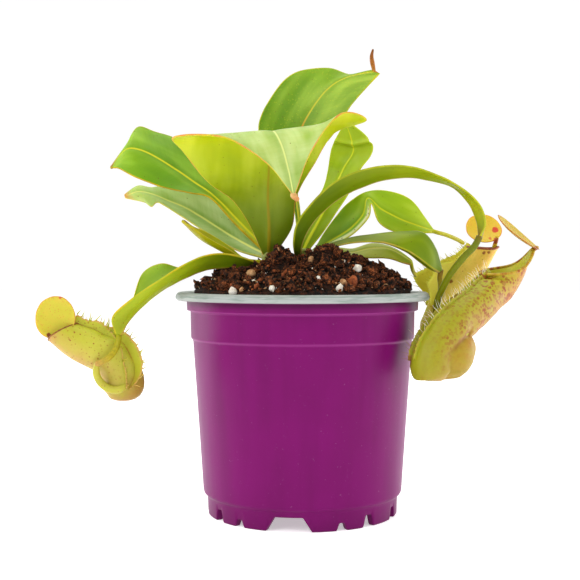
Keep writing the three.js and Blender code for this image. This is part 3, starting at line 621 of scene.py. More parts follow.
def chip_finish(name, deep, pale):
    """Bark, grit or perlite: one pale colour clouded by a deeper one, with a fine tooth."""
    finish = Finish(name, Specular_IOR_Level=0.3, Roughness=0.8)
    point = finish.place()
    clouds = finish.grain(point, 1.6, 4, 0.65)
    tooth = finish.grain(point, 0.3, 3)
    colour = finish.blend(((clouds - 0.35) * 2.6).held(), deep, pale)
    finish.surface(Base_Color=colour, Normal=finish.relief((tooth, 0.5, 0.15)))
    return finish.material


# Chips seen lying on top as x, y, size and flatness, then how many more are strewn and how
# large, and the finish's name and colours
CHIPS = {
    "grit": ([(-23.4, -27.5, 2.3, 0.8), (17.3, -41, 2.0, 0.8), (3.6, -21.5, 1.7, 0.7),
              (-27, -41.5, 1.5, 0.7), (-11.5, -17.5, 1.3, 0.8), (37, -30, 1.3, 0.6),
              (21, -43, 1.0, 0.6)], 300, (0.3, 0.8), "grit_stone", "8c5a35", "d1a878"),
    "bark": ([(21.5, -40.5, 3.2, 0.42), (-31, -36, 2.1, 0.5), (-2, -30, 1.7, 0.5),
              (31, -33, 1.8, 0.5)], 160, (0.5, 1.4), "bark_chip", "541f0b", "ab5a2c"),
    "perlite": ([(-30.8, -41.5, 2.0, 0.7), (-13.6, -47, 1.7, 0.75), (7.3, -38.3, 1.8, 0.6),
                 (15.7, -46, 1.9, 0.5), (24.5, -23, 2.1, 0.9), (-22, -35, 1.0, 0.8),
                 (4.5, -27, 0.9, 0.8)], 330, (0.18, 0.5), "perlite_grain", "cfc3b2", "f7f3ea"),
}
for name, (chips, strewn, sizes, *colours) in CHIPS.items():
    chip_mesh = bmesh.new()
    for x, y, size, flat in chips:
        place = Vector((x, y, soil_height(x, y) + 0.55 * size))
        add_lump(chip_mesh, place, size, 2, (1.1, 0.9, flat), 0.4)
    add_lumps(chip_mesh, strewn, sizes, 1, 0.75, (1.1, 0.9, 0.6))
    add_piece(name, chip_mesh, chip_finish(*colours))


# Crowns: the two short green stalks that the leaves grow from, hidden in the soil but for
# their tops, and ringed by the scars of older leaves.
CROWN_RADIUS = 3.384
CROWN_FOOT = 96
CROWN_SHOULDER = 0.8
CROWN_SIDES = 40
CROWN_ROWS = 60
# Each crown's place and its top: x, y and z
CROWNS = {"crown_left": (-16, -4, 125), "crown_right": (-0.5, -1, 124.5)}


def crown_form(x, y, top):
    """A short stalk with rings of scars and a rounded top."""
    def form(a, b):
        height = CROWN_FOOT + (top - CROWN_FOOT) * min(1, b / 0.9)
        swell = 1 + 0.06 * math.sin(height * 2.2) + 0.05 * math.sin(2 * math.pi * a * 3)
        close = min(1, b / 0.05)
        if b > CROWN_SHOULDER:
            close = math.sqrt(max(0, 1 - ((b - CROWN_SHOULDER) / (1 - CROWN_SHOULDER)) ** 2))
        radius = CROWN_RADIUS * swell * close
        return Vector((x, y, 0)) + ring_point(radius, 2 * math.pi * a, height), b
    return form


def crown_finish():
    """Matt green skin, brown where it stands in the soil."""
    finish = Finish("crown_green", Roughness=0.55, Subsurface_Weight=0.05, Subsurface_Scale=0.002)
    point = finish.place()
    clouds = finish.grain(point, 2.5, 4)
    colour = finish.blend(clouds, "66702a", "9da33c")
    colour = finish.blend(finish.parts(point)[2].below(112, 8), colour, "4c3a1e")
    finish.surface(Base_Color=colour, Normal=finish.relief((clouds, 0.4, 0.4)))
    return finish.material


crown_green = crown_finish()
for name, place in CROWNS.items():
    stalk = closed_skin(CROWN_SIDES, CROWN_ROWS, crown_form(*place))
    add_piece(name + "_stalk", stalk, crown_green, [name])


# Leaves: thin waxy blades with a raised midrib and a bright thin margin, grown from a
# channelled stalk; some are drawn out into the tendril that carries a pitcher.
BLADE_HALF = 0.36
PETIOLE_HALF = 1.0
RIB_WIDTH = 1.0
WRINKLE_WIDTH = 13
LEAF_SIDES = 88
LEAF_STEP = 1.1
TENDRIL_STEP = 0.9
# How far beyond its centre each ring of a rounded end stands, as a share of the radius
ROUND_END = (0.4, 0.7, 0.92)
# Marks for the finish: millimetres across from the rib, along, and in from the margin, then
# 1 on the upper face, and how far along the blade and along the tendril
LEAF_MARKS = ("across", "along", "margin", "face", "run", "tendril")

# Points in millimetres from the base to the tip along the midrib and along each margin, left
# and right as seen from the upper face, then the tendril's points with its radius. Bowl is
# how rounded the section is, from a fold to a gutter; ridge is the height of the raised rib,
# wrinkle that of the blade's folds, and crease the place and depth of one sharp crease.
LEAVES = {
    "leaf_front": {
        "rib": [(-16, -5, 121), (-15.5, -13, 133.5), (-16, -19, 146), (-15.5, -27, 158.5),
                (-15, -36, 168.5), (-13.5, -45, 174.5), (-9.5, -53, 167.5), (-6.5, -57, 156.5),
                (-4.5, -58, 146.5)],
        "left": [(-13.5, -5, 121), (-5, -10, 134), (-2.8, -16, 148), (5, -27, 161.7),
                 (14, -36.5, 175), (27.3, -44.5, 179.3), (16, -53, 181), (3.5, -57.5, 165),
                 (-3.5, -58, 147)],
        "right": [(-18.5, -5, 121), (-24, -11, 134), (-32.5, -17, 146.5), (-43, -26, 154),
                  (-53, -37, 166.5), (-56, -45, 172), (-34.5, -54, 171), (-16.5, -57.5, 160),
                  (-5.5, -58, 147)],
        "tendril": [(-4.2, -58.4, 145.6, 1.35), (-3, -58.6, 144.4, 1.1)],
        "bowl": 0.35, "ridge": 1.0,
    },
    "leaf_upper_back": {
        "rib": [(-2, 0, 123.5), (-1.5, 5, 134), (-2.5, 8, 144), (-4, 12, 155.5), (-4, 16, 167.5),
                (-1, 19, 181.5), (5, 20, 193), (12.5, 19, 202.5), (21, 17, 207.5),
                (34.6, 12, 209.8)],
        "left": [(-3.5, 0, 123.5), (-3, 5, 134), (-4.2, 8, 144), (-7.5, 12, 155.5), (-14, 17, 168),
                 (-21.5, 21, 183.5), (-15, 25, 200), (-4, 26, 211.5), (13, 24, 213.8),
                 (24, 18.5, 209.6), (33.6, 12.3, 210.8)],
        "right": [(-1, 0, 123.5), (-0.3, 5, 134), (-1, 8, 144), (-2, 10.5, 155.5), (5, 12, 167.5),
                  (16, 14, 181), (23, 13, 192.5), (27.9, 12, 198.5), (33, 11.5, 204),
                  (37.6, 11.8, 208.8)],
        "tendril": [(34.5, 12, 211, 0.9), (33.8, 11.5, 214, 1.1), (33.4, 11, 217, 0.9),
                    (34, 11, 220, 0.5)],
        "bowl": 0.5, "ridge": 0.7,
    },
    "leaf_upper_left": {
        "rib": [(-16.5, -3.5, 123), (-29.5, -4, 136.5), (-40.5, -5, 148), (-50, -6, 155),
                (-61.5, -8, 162.5), (-71.5, -10, 168.5), (-78.5, -11, 170.5), (-82.5, -12, 169),
                (-88, -13, 162)],
        "left": [(-17.5, -4.5, 122), (-31, -6, 135), (-42.5, -9, 147.5), (-52, -13, 149.5),
                 (-65.5, -16, 152.5), (-76.5, -17, 156.5), (-84, -15, 160.5), (-86.5, -14, 161),
                 (-88.5, -13.5, 161)],
        "right": [(-15.5, -2.5, 124), (-25, -2, 139.5), (-33.5, 0, 153.5), (-42, 3, 165),
                  (-57.5, 4, 175.5), (-70, 2, 180), (-77.5, -2, 181.5), (-81.5, -8, 173),
                  (-87.5, -12, 162.5)],
        "bowl": 0.5, "ridge": 0.7,
    },
    "leaf_lower_left": {
        "rib": [(-16.5, -2, 120.5), (-30, 6, 128), (-42, 6, 135.5), (-54, 7, 143),
                (-64.5, 7, 147.5), (-72, 6, 150.5), (-78.5, 5, 151.5), (-84.5, 4, 149)],
        "left": [(-17.5, -3.5, 119.5), (-31.5, 3, 123.5), (-45, 2, 131.5), (-55, 2, 138),
                 (-65, 3, 144.5), (-69, 3, 146.3), (-71.5, 1.5, 144), (-75, 3, 146.2),
                 (-84.4, 4, 148.3)],
        "right": [(-15.5, -0.5, 121.5), (-28, 9, 133.5), (-37, 12, 144), (-48.5, 13, 154),
                  (-62, 13, 156.5), (-72, 11, 154), (-79, 9, 154.5), (-85, 5, 150)],
        "bowl": 0.4, "ridge": 0.6,
    },
    "leaf_small_left": {
        "rib": [(-17, -4, 118), (-27, -5, 119), (-34, -6.5, 121.5), (-40, -10, 124.5),
                (-46, -12, 128), (-51, -14, 132.5), (-55, -15, 137)],
        "left": [(-17, -5, 118.5), (-27, -6, 120), (-34.5, -9.5, 124), (-41.5, -14, 128),
                 (-47, -17, 131.5), (-51.5, -17, 134.5), (-55.5, -16, 137)],
        "right": [(-17, -3, 118.5), (-27, -4, 120), (-33, -4, 124.5), (-39, -5, 128.5),
                  (-45, -7, 132), (-50.5, -10, 134.5), (-54.5, -14, 137)],
        "bowl": 0.8, "ridge": 0.4,
    },
    "leaf_low_left": {
        "rib": [(-16.5, -5, 115.5), (-30.5, -15, 116), (-42.5, -19, 115.5), (-53, -26, 111.5),
                (-63.5, -31, 105.5), (-71.5, -35, 98.5), (-77, -38.5, 92), (-80.5, -41, 86)],
        "left": [(-17, -7, 116.5), (-29.5, -18, 121), (-40, -24, 122), (-51, -32, 118),
                 (-63, -38, 110.5), (-74.5, -41, 102.5), (-83, -43.5, 94.5), (-82.4, -42, 87)],
        "right": [(-16, -3, 116.5), (-29, -11, 120), (-41, -11, 121), (-54.5, -14, 115.5),
                  (-65, -17, 117.3), (-73, -22, 112.5), (-76, -32, 101), (-80, -39.5, 87.5)],
        "tendril": [(-80.6, -43.2, 83.5, 1.3), (-81.2, -46, 80.3, 1.3), (-83.6, -47.6, 77, 1.3),
                    (-86.8, -47.6, 74.9, 1.3), (-89, -47, 74, 1.3)],
        "bowl": 0.6, "ridge": 0.7,
    },
    "leaf_right_arch": {
        "rib": [(-1, -3, 117), (-1, -12, 126.5), (5.5, -16, 138), (18.5, -20, 148.5),
                (34.5, -24, 155), (50, -27, 156), (65, -29, 152.5), (73.5, -30, 145),
                (77.5, -30, 137), (79, -30, 130)],
        "left": [(1, -3, 118), (-2.5, -8, 128.5), (1, -10, 139), (16, -12, 153), (32.5, -16, 160),
                 (51, -19, 159.5), (67, -22, 152.5), (77.5, -24, 144), (81.5, -26, 137),
                 (80.5, -28, 130.5)],
        "right": [(-3, -3, 118), (-4.5, -16, 127.5), (-1, -21, 139), (14, -26, 154),
                  (32, -30, 160.5), (50, -33, 160), (67, -35, 152.5), (77.5, -35, 144),
                  (81, -33, 135.5), (79.5, -31, 129.5)],
        "tendril": [(76.5, -29, 125, 1.5), (72, -27, 120, 1.5), (67, -23, 113, 1.5),
                    (64, -19, 106.5, 1.5), (62, -16, 100.5, 1.5), (61, -15, 93.5, 1.5),
                    (58.5, -16.5, 87, 1.6), (55.5, -20.5, 81.5, 1.6), (55, -26.5, 77, 1.6)],
        "bowl": 0.7, "ridge": 0.5,
    },
    "leaf_wrinkled_back": {
        "rib": [(-0.5, 0, 120.5), (5.5, 4, 132.5), (10.5, 6, 142), (15, 7, 151.5), (19.5, 8, 161.5),
                (24.5, 7, 170.5), (23.5, 5, 177), (21, 4, 184)],
        "left": [(0.5, -1, 120.5), (9.5, 3, 131.5), (17, 4, 143), (22.5, 4, 151.5), (28, 4, 162),
                 (33.5, 3, 171.5), (30, 2, 178), (22.5, 3, 184.5)],
        "right": [(-1.5, 1, 120.5), (2.5, 6, 133.5), (5.5, 9, 145), (10.5, 11, 154.5),
                  (13, 11, 166), (14, 9, 172.5), (17, 6, 179), (20, 4, 183.5)],
        "bowl": 0.3, "ridge": 0.8, "wrinkle": 1.1, "crease": (0.8, 1.8),
    },
    "leaf_right_middle": {
        "rib": [(0, 0, 119), (7, 6, 124), (15, 8, 129), (23, 9, 134), (29.5, 9, 141),
                (31.5, 8, 148.5), (37.5, 6, 143.5), (48, 5, 138), (55, 5, 135.5), (62, 4, 132.8)],
        "left": [(-0.5, 1, 119.5), (6, 7.5, 125), (10, 11, 131.5), (15.5, 13, 139), (22, 13, 146.5),
                 (31, 11, 152), (42, 11, 152.2), (52, 10, 148.5), (59, 8, 139.5), (62.5, 5, 133.6)],
        "right": [(0.5, -1, 118.5), (8.5, 5, 123), (17.5, 5, 127.5), (25, 5, 132), (32, 4.5, 139.5),
                  (33, 3.5, 145.5), (36, 2, 137), (43, 2, 132.5), (53, 3, 131.5), (61.5, 3, 132)],
        "tendril": [(65, 5, 132, 1), (69.5, 9, 131, 1), (75.5, 15, 129, 1), (79, 20, 127.5, 1)],
        "bowl": 0.3, "ridge": 0.5,
    },
    "leaf_right_low_arch": {
        "rib": [(0, -1.5, 120.5), (11, -5, 126), (22, -7, 129.5), (35, -8, 131.5),
                (47.5, -9, 132.5), (56.5, -10, 131.5), (62, -10, 124), (64.5, -9, 115)],
        "left": [(0, -0.5, 120.5), (10, -1, 124.5), (23.5, -1, 127), (37.5, 0, 127), (48.5, 0, 123),
                 (55, -2, 118), (59.5, -4, 114.5), (64.5, -7, 112.5)],
        "right": [(0, -2.5, 119.5), (12, -9, 124), (22.5, -13, 126.5), (34.5, -16, 127),
                  (45.5, -17, 124), (52.5, -17, 120), (58.5, -15, 115.5), (63, -10, 113)],
        "tendril": [(64, -8, 111, 1.2), (64.5, -6, 107.5, 1.2), (65, -2, 103, 1.2),
                    (65, 5, 97, 1.2), (64.5, 13, 90, 1.3), (64, 20, 84, 1.3), (65, 28, 82, 1.4)],
        "bowl": 0.6, "ridge": 0.5,
    },
    "leaf_right_lowest": {
        "rib": [(-1, 1, 117), (5.5, 10, 120.5), (13.5, 11, 123.5), (23, 11, 122.5),
                (32.5, 9, 124.5), (41, 7, 124.5), (47.5, 6, 121.5), (52, 5, 118)],
        "left": [(-2, 1, 117.5), (4.5, 12, 121.5), (14, 15, 125), (24.5, 16, 124.5), (34, 14, 127),
                 (41.5, 12, 126), (48.5, 9, 122), (52.5, 6, 118.5)],
        "right": [(0, 1, 117.5), (6.5, 8.5, 120), (13.5, 7, 122), (24, 5, 120), (33.5, 3, 120),
                  (41.5, 2, 119.5), (47.5, 3, 117.5), (51.5, 4, 116.5)],
        "tendril": [(52.5, 6, 115.5, 0.9), (53.5, 9, 113.5, 0.9), (55, 13, 111.5, 0.9)],
        "bowl": 0.5, "ridge": 0.5,
    },
}


def curve_point(points, t):
    """The point at t, from 0 to 1, on the smooth curve through the points."""
    last = len(points) - 1
    place = min(max(t, 0), 1) * last
    i = min(int(place), last - 1)
    f = place - i
    a, b = points[i], points[i + 1]
    before = points[i - 1] if i > 0 else a * 2 - b
    after = points[i + 2] if i + 2 <= last else b * 2 - a
    return (a * (2 * f**3 - 3 * f**2 + 1) + (b - before) * ((f**3 - 2 * f**2 + f) / 2)
            + b * (3 * f**2 - 2 * f**3) + (after - a) * ((f**3 - f**2) / 2))


def direction(points, t, step):
    """Which way the curve through the points runs at t."""
    ahead = curve_point(points, min(1, t + step)) - curve_point(points, max(0, t - step))
    return ahead.to_3d().normalized()


def length_of(points):
    """The length of the straight lines that join the points."""
    return sum((b.to_3d() - a.to_3d()).length for a, b in zip(points, points[1:]))


def bell(distance, width):
    """1 in the middle, fading out to both sides over a width."""
    return math.exp(-((distance / width) ** 2))


def across_blade(lines, u, bowl):
    """The blade's middle surface: a fold along the rib, rounded into a gutter by bowl."""
    left, middle, right = lines
    folded = middle + ((right if u > 0 else left) - middle) * abs(u)
    rounded = middle + (right - left) * (u / 2) + ((right + left) / 2 - middle) * (u * u)
    return folded.lerp(rounded, bowl)


def blade_row(leaf, t, along):
    """The blade's section at t: a function from the turn round it to a point and its marks."""
    bowl = leaf["bowl"]
    behind, here, ahead = ([curve_point(leaf[line], s) for line in ("left", "rib", "right")]
                           for s in (max(0, t - 0.004), t, min(1, t + 0.004)))
    left, middle, right = here
    petiole = bell(t, 0.14) + 0.6 * bell(1 - t, 0.07)
    half = BLADE_HALF + (PETIOLE_HALF - BLADE_HALF) * petiole
    wrinkle = leaf.get("wrinkle", 0.35) * min(1, t / 0.25) * (1 - bell(1 - t, 0.1))
    place, depth = leaf.get("crease", (0, 0))

    def section(turn):
        u = -math.cos(turn)
        point = across_blade(here, u, bowl)
        forward = across_blade(ahead, u, bowl) - across_blade(behind, u, bowl)
        aside = (across_blade(here, min(1, u + 0.03), bowl)
                 - across_blade(here, max(-1, u - 0.03), bowl))
        out = aside.cross(forward).normalized()
        width = ((right if u > 0 else left) - middle).length
        from_rib = abs(u) * width
        margin = (1 - abs(u)) * width
        edge = min(1, margin / half)
        lift = half * math.sqrt(edge * (2 - edge))
        face = 0.0 if math.sin(turn) < 0 else 1.0
        if face:
            lift -= 0.3 * bell(from_rib, RIB_WIDTH * 0.9) * (1 - petiole * 0.6)
        else:
            ridge = leaf["ridge"] * bell(from_rib, RIB_WIDTH) * min(1, t / 0.1) * (1 - t * 0.5)
            lift = -lift - ridge
        folds = noise.fractal(point / WRINKLE_WIDTH, 1.0, 2.2, 2)
        lift += wrinkle * folds - depth * bell(t - place, 0.02)
        return point + out * lift, math.copysign(from_rib, u), along, margin, face, t, 0.0
    return section


def tendril_row(stations, s, push, along, side):
    """A round section of the tendril at s, or pushed beyond it as part of a rounded end."""
    station = curve_point(stations, s)
    tangent = direction(stations, s, 0.01)
    # The side is turned in place, so that the next section starts from it and none twists
    side -= tangent * side.dot(tangent)
    side.normalize()
    out = side.cross(tangent).normalized()
    radius = station.w
    centre = station.to_3d() + tangent * (radius * push)
    reach = radius * math.sqrt(1 - push * push)
    aside = side.copy()

    def section(turn):
        spoke = aside * (-math.cos(turn)) + out * math.sin(turn)
        return centre + spoke * reach, 0.0, along, 4.0, 0.5, 1.0, s
    return section


def leaf_rows(leaf):
    """All sections of a leaf from its base to the tip of its tendril."""
    length = length_of(leaf["rib"])
    count = round(length / LEAF_STEP)
    rows = [blade_row(leaf, i / count, length * i / count) for i in range(count + 1)]
    if "tendril" in leaf:
        start = leaf["rib"][-1].to_4d()
        start.w = leaf["tendril"][0].w
        stations = [start] + leaf["tendril"]
        reach = length_of(stations)
        count = max(6, round(reach / TENDRIL_STEP))
        side = leaf["right"][-1] - leaf["left"][-1]
        plan = [(i / count, 0) for i in range(1, count + 1)] + [(1, push) for push in ROUND_END]
        rows += [tendril_row(stations, s, push, length + reach * s, side) for s, push in plan]
    return rows


def rows_form(rows):
    """The form of a skin that runs through all rows, and its steps along."""
    return lambda a, b: rows[round(b * (len(rows) - 1))](2 * math.pi * a), len(rows) - 1


# Colours along each face from base to tip, the strength, pale colour and side of the painted sheen,
# the margin's two colours, the rib's on each face, and the tendril's from start to end. Some have
# pale speckles, a rib browned along its middle, a bleached strip or a brown tip.
LEAF_LOOKS = {
    "leaf_front": {
        "upper": [(0, "7f9420"), (0.5, "9db83e"), (0.75, "96b040"), (1, "82a038")],
        "under": [(0, "6c7c00"), (0.2, "748600"), (0.3, "869600"), (0.42, "a9b600"),
                  (0.58, "bec600"), (1, "b8b424")],
        "sheen_haze": (0.5, "dfe3b0", 0.0), "edge": ("c87c38", "bca81c"), "rib": ("c8d078", "8f8014"),
        "tendril": [(0, "c8a468"), (1, "bc8450")], "slot": "leaf_light",
    },
    "leaf_upper_back": {
        "upper": [(0, "4c6600"), (0.45, "5a8200"), (0.75, "6c9400"), (1, "86a41c")],
        "under": [(0, "7a9404"), (1, "8aa62a")],
        "sheen_haze": (0.28, "bcd050", 1.0), "edge": ("b8b014", "94a018"), "rib": ("b8b020", "a79a20"),
        "tendril": [(0, "b4762a"), (0.3, "a0601c"), (1, "743e12")], "slot": "leaf_glossy",
        "speckle": 0.8, "rib_base": "be6c16",
    },
    "leaf_upper_left": {
        # The upper face darkens from 0.35 to 0.5 along: painted shadow of leaf_front, which lies
        # over it there.
        "upper": [(0, "a8a608"), (0.18, "949e04"), (0.35, "5c8800"), (0.5, "5f8e00"),
                  (0.7, "749e04"), (1, "90b430")],
        "under": [(0, "9aa208"), (0.3, "7d9a04"), (1, "92b01c")],
        "sheen_haze": (0.3, "acc84c", 0.4), "edge": ("c0a010", "968010"), "rib": ("c4bc18", "b0aa1c"),
        "slot": "leaf_glossy", "tip": "9a3f24",
    },
    "leaf_lower_left": {
        "upper": [(0, "5f8418"), (0.25, "789c30"), (0.6, "9cb858"), (0.8, "b6ca6c"), (1, "b8c84a")],
        "under": [(0, "8cac3c"), (0.6, "b2c864"), (1, "bccc54")],
        "sheen_haze": (0.6, "dde4b4", 0.0), "edge": ("c8bc60", "b0b04c"), "rib": ("ccd06c", "bfc058"),
        "slot": "leaf_pale", "tip": "c08038",
    },
    "leaf_small_left": {
        "upper": [(0, "7d8e00"), (0.5, "8f9400"), (1, "a08c04")],
        "under": [(0, "9caa10"), (0.5, "aaa808"), (1, "a8920c")],
        "sheen_haze": (0.03, "a6a22a", 0.0), "edge": ("a89c14", "a8a414"), "rib": ("a8a414", "a8a414"),
        "slot": "leaf_olive", "tip": "6b3a12",
    },
    "leaf_low_left": {
        "upper": [(0, "4a5400"), (0.25, "667c00"), (0.6, "84a404"), (1, "90a008")],
        "under": [(0, "4c5600"), (0.2, "647800"), (0.4, "8c9c08"), (0.7, "9cac14"), (1, "a8a81c")],
        "sheen_haze": (0.18, "b4c454", -0.6), "edge": ("c4ac1c", "a4a81c"), "rib": ("b4983c", "b09434"),
        "tendril": [(0, "989610"), (0.6, "a09018"), (1, "b08a44")], "slot": "leaf_olive",
        "speckle": 0.3,
    },
    "leaf_right_arch": {
        "upper": [(0, "485400"), (0.3, "687c00"), (0.7, "809004"), (1, "606c00")],
        "under": [(0, "485400"), (0.15, "526800"), (0.35, "6e8200"), (0.6, "8c9a08"),
                  (0.8, "94980c"), (1, "6c7800")],
        "sheen_haze": (0.2, "bcbe44", 0.0), "edge": ("acae1c", "9aa014"), "rib": ("9a961c", "ae984a"),
        "tendril": [(0, "6c560c"), (0.08, "606a00"), (0.5, "6c7200"), (1, "94941c")],
        "slot": "leaf_olive", "tip": "7a5a18",
    },
    "leaf_wrinkled_back": {
        "upper": [(0, "566a00"), (0.3, "789600"), (0.7, "88a400"), (1, "9cb420")],
        "under": [(0, "748a00"), (0.4, "90a800"), (1, "a2b824")],
        "sheen_haze": (0.14, "c0d048", -0.5), "edge": ("b4be14", "a8b814"), "rib": ("c4c81c", "c4c81c"),
        "slot": "leaf_light",
    },
    "leaf_right_middle": {
        "upper": [(0, "8ca42c"), (0.35, "84ac30"), (0.5, "8eac00"), (0.7, "90ae00"), (1, "a4b808")],
        "under": [(0, "a0b434"), (0.35, "b0be44"), (1, "a4b818")],
        "sheen_haze": (0.12, "c2d45c", 0.0), "edge": ("c8c43c", "b0b81c"), "rib": ("bcbe14", "bab42c"),
        "tendril": [(0, "b2ae1c"), (1, "b4ac24")], "slot": "leaf_light", "strip": "c8cc96",
    },
    "leaf_right_low_arch": {
        "upper": [(0, "545c00"), (0.3, "667400"), (0.6, "7e9200"), (1, "647c00")],
        "under": [(0, "6c7800"), (0.5, "849800"), (1, "748a00")],
        "sheen_haze": (0.04, "b8c44c", 0.6), "edge": ("b89a44", "a09c1c"), "rib": ("aca020", "aca020"),
        "tendril": [(0, "6c4a14"), (0.12, "88721c"), (0.3, "98961c"), (1, "aaa42c")],
        "slot": "leaf_olive",
    },
    "leaf_right_lowest": {
        "upper": [(0, "788800"), (0.5, "a8ac18"), (1, "8c9a08")],
        "under": [(0, "8a9a08"), (0.5, "acb020"), (1, "96a00c")],
        "sheen_haze": (0.2, "c8cc68", 0.0), "edge": ("b88a34", "aca824"), "rib": ("bcb438", "bcb438"),
        "tendril": [(0, "9c9c0c"), (1, "b4ac24")], "slot": "leaf_light",
    },
}


def colour_run(finish, value, stops):
    """Colours laid along a value from 0 to 1."""
    painted = [(place, paint(code)) for place, code in stops]
    return finish.node("ShaderNodeValToRGB", {"stops": painted}, {0: value}, "Color")


def leaf_finish(name, look):
    """Waxy leaf skin: clouded green with cross veins, painted sheen and painted shade, a bright
    margin, a rib and brown flecks.
    """
    finish = Finish(name, Specular_IOR_Level=0.17, Subsurface_Weight=0.1, Subsurface_Scale=0.002)
    across, along, margin, face, run, tendril = (finish.mark(mark) for mark in LEAF_MARKS)
    point = finish.place()
    from_rib = finish.node("ShaderNodeMath", {"operation": "ABSOLUTE"}, {0: across})
    cloud = finish.grain(point, 9, 3)
    fine = finish.grain(point, 1.3, 3)
    slant = along - from_rib * 0.55
    veins = finish.grain(finish.vector(from_rib * 0.16, slant * 1.1, face * 7.0), 1.5, 3)
    nerves = finish.grain(finish.vector(across * 1.4, along * 0.05, face * 5.0), 1.2, 2)
    wander = run + (cloud - 0.5) * 0.12
    colour = finish.blend(face, colour_run(finish, wander, look["under"]),
                          colour_run(finish, wander, look["upper"]))
    # Painted sheen: pale patches that follow the veins, lean to one side of the rib and lie mostly
    # on the upper face.
    amount, sheen_haze, side = look["sheen_haze"]
    lean = (across * (side / 16.0) + 0.5 if side else finish.grain(point, 16, 2)).held()
    sheen_patches = (veins * 0.6 + 0.15).held() * lean * (1.5 * amount) * (0.1 + face * 0.9)
    colour = finish.blend(sheen_patches.held(), colour, sheen_haze)
    deeper = finish.blend(1.0, colour, "b4c878", "MULTIPLY")
    # Long streaks along the blade, darker where the streak is low: partly the leaf's own uneven
    # green, partly painted shade.
    streak = finish.grain(finish.vector(across * 0.1, along * 0.03, face * 9.0 + 4.0), 1.0, 2)
    colour = finish.blend(streak.below(0.5, 0.4) * 0.55, colour, deeper)
    # Painted shade: the upper face is darkened in the valley along the rib, fading out over 5 mm.
    hollow = (from_rib / -5.0 + 1.0).held() * face
    colour = finish.blend(hollow * 0.45, colour, deeper)
    # Painted sheen: pale streaks where the streak is high, stronger on the upper face.
    sheen = streak.above(0.58, 0.25) * (face * 0.22 + 0.04)
    colour = finish.blend(sheen, colour, sheen_haze)
    colour = finish.blend(nerves.below(0.4, 0.16) * 0.08, colour, deeper)
    if "speckle" in look:
        dots = finish.cells(point, 1.5).below(0.2, 0.14)
        colour = finish.blend(dots * (look["speckle"] * 0.25), colour, "c4c020")
    flecks = finish.cells(point, 3.4).below(0.075, 0.03)
    colour = finish.blend(flecks * 0.7, colour, "5e4410")
    rib = finish.blend(face, look["rib"][1], look["rib"][0])
    if "rib_base" in look:
        base = run.below(0.6, 0.1) * run.above(0.42, 0.1)
        rib = finish.blend(base, rib, look["rib_base"])
    width = 1.0 - run * 0.45
    colour = finish.blend((from_rib / width).below(0.6, 0.4) * 0.85, colour, rib)
    if "strip" in look:
        strip = run.below(0.5, 0.04) * (across - 0.6).held() * margin.below(2.6, 0.5)
        colour = finish.blend(strip * 0.9, colour, look["strip"])
        scars = finish.cells(point, 2.2).below(0.22, 0.08) * strip
        colour = finish.blend(scars * 0.8, colour, "5e3c14")
    if "tip" in look:
        colour = finish.blend(run.above(0.955, 0.07) * 0.85, colour, look["tip"])
    patches = finish.grain(point, 7, 2).below(0.5, 0.2)
    edge = finish.blend(patches, look["edge"][1], look["edge"][0])
    colour = finish.blend(margin.below(0.5, 0.3) * 0.9, colour, edge)
    if "tendril" in look:
        stem = colour_run(finish, tendril, look["tendril"])
        stem = finish.blend(fine.below(0.44, 0.2) * 0.25, stem, "4e4a10")
        colour = finish.blend((tendril / 0.02).held(), colour, stem)
    bump = finish.relief((veins, 0.12, 0.3), (nerves, 0.06, 0.2), (fine, 0.1, 0.12))
    finish.surface(Base_Color=colour, Roughness=0.34 + fine * 0.12, Normal=bump)
    return finish.material


for name, leaf in LEAVES.items():
    for line in ("rib", "left", "right", "tendril"):
        if line in leaf:
            leaf[line] = [Vector(point) for point in leaf[line]]
    form, steps = rows_form(leaf_rows(leaf))
    blade = closed_skin(LEAF_SIDES, steps, form, LEAF_MARKS)
    look = LEAF_LOOKS[name]
    add_piece(name + "_blade", blade, leaf_finish(name + "_green", look), [name])


# Pitchers: hollow traps of leathery leaf, swollen at the foot, each grown from the end of a
# tendril, with a thin rolled rim round the mouth and a neck that carries the lid.
WALL = 1.0
ROD_STEP = 0.6
BEAD_DEGREES = range(-50, 211, 20)
PITCHER_SIDES = 72
PITCHER_ROWS = 100
# Marks for the finish: how far along, the turn's cosine and sine from the front, then 1 on
# the inside, on the rim, towards a wing's edge and in the crease over the heel
PITCHER_MARKS = ("run", "front", "aside", "inside", "rim", "wing", "fold")

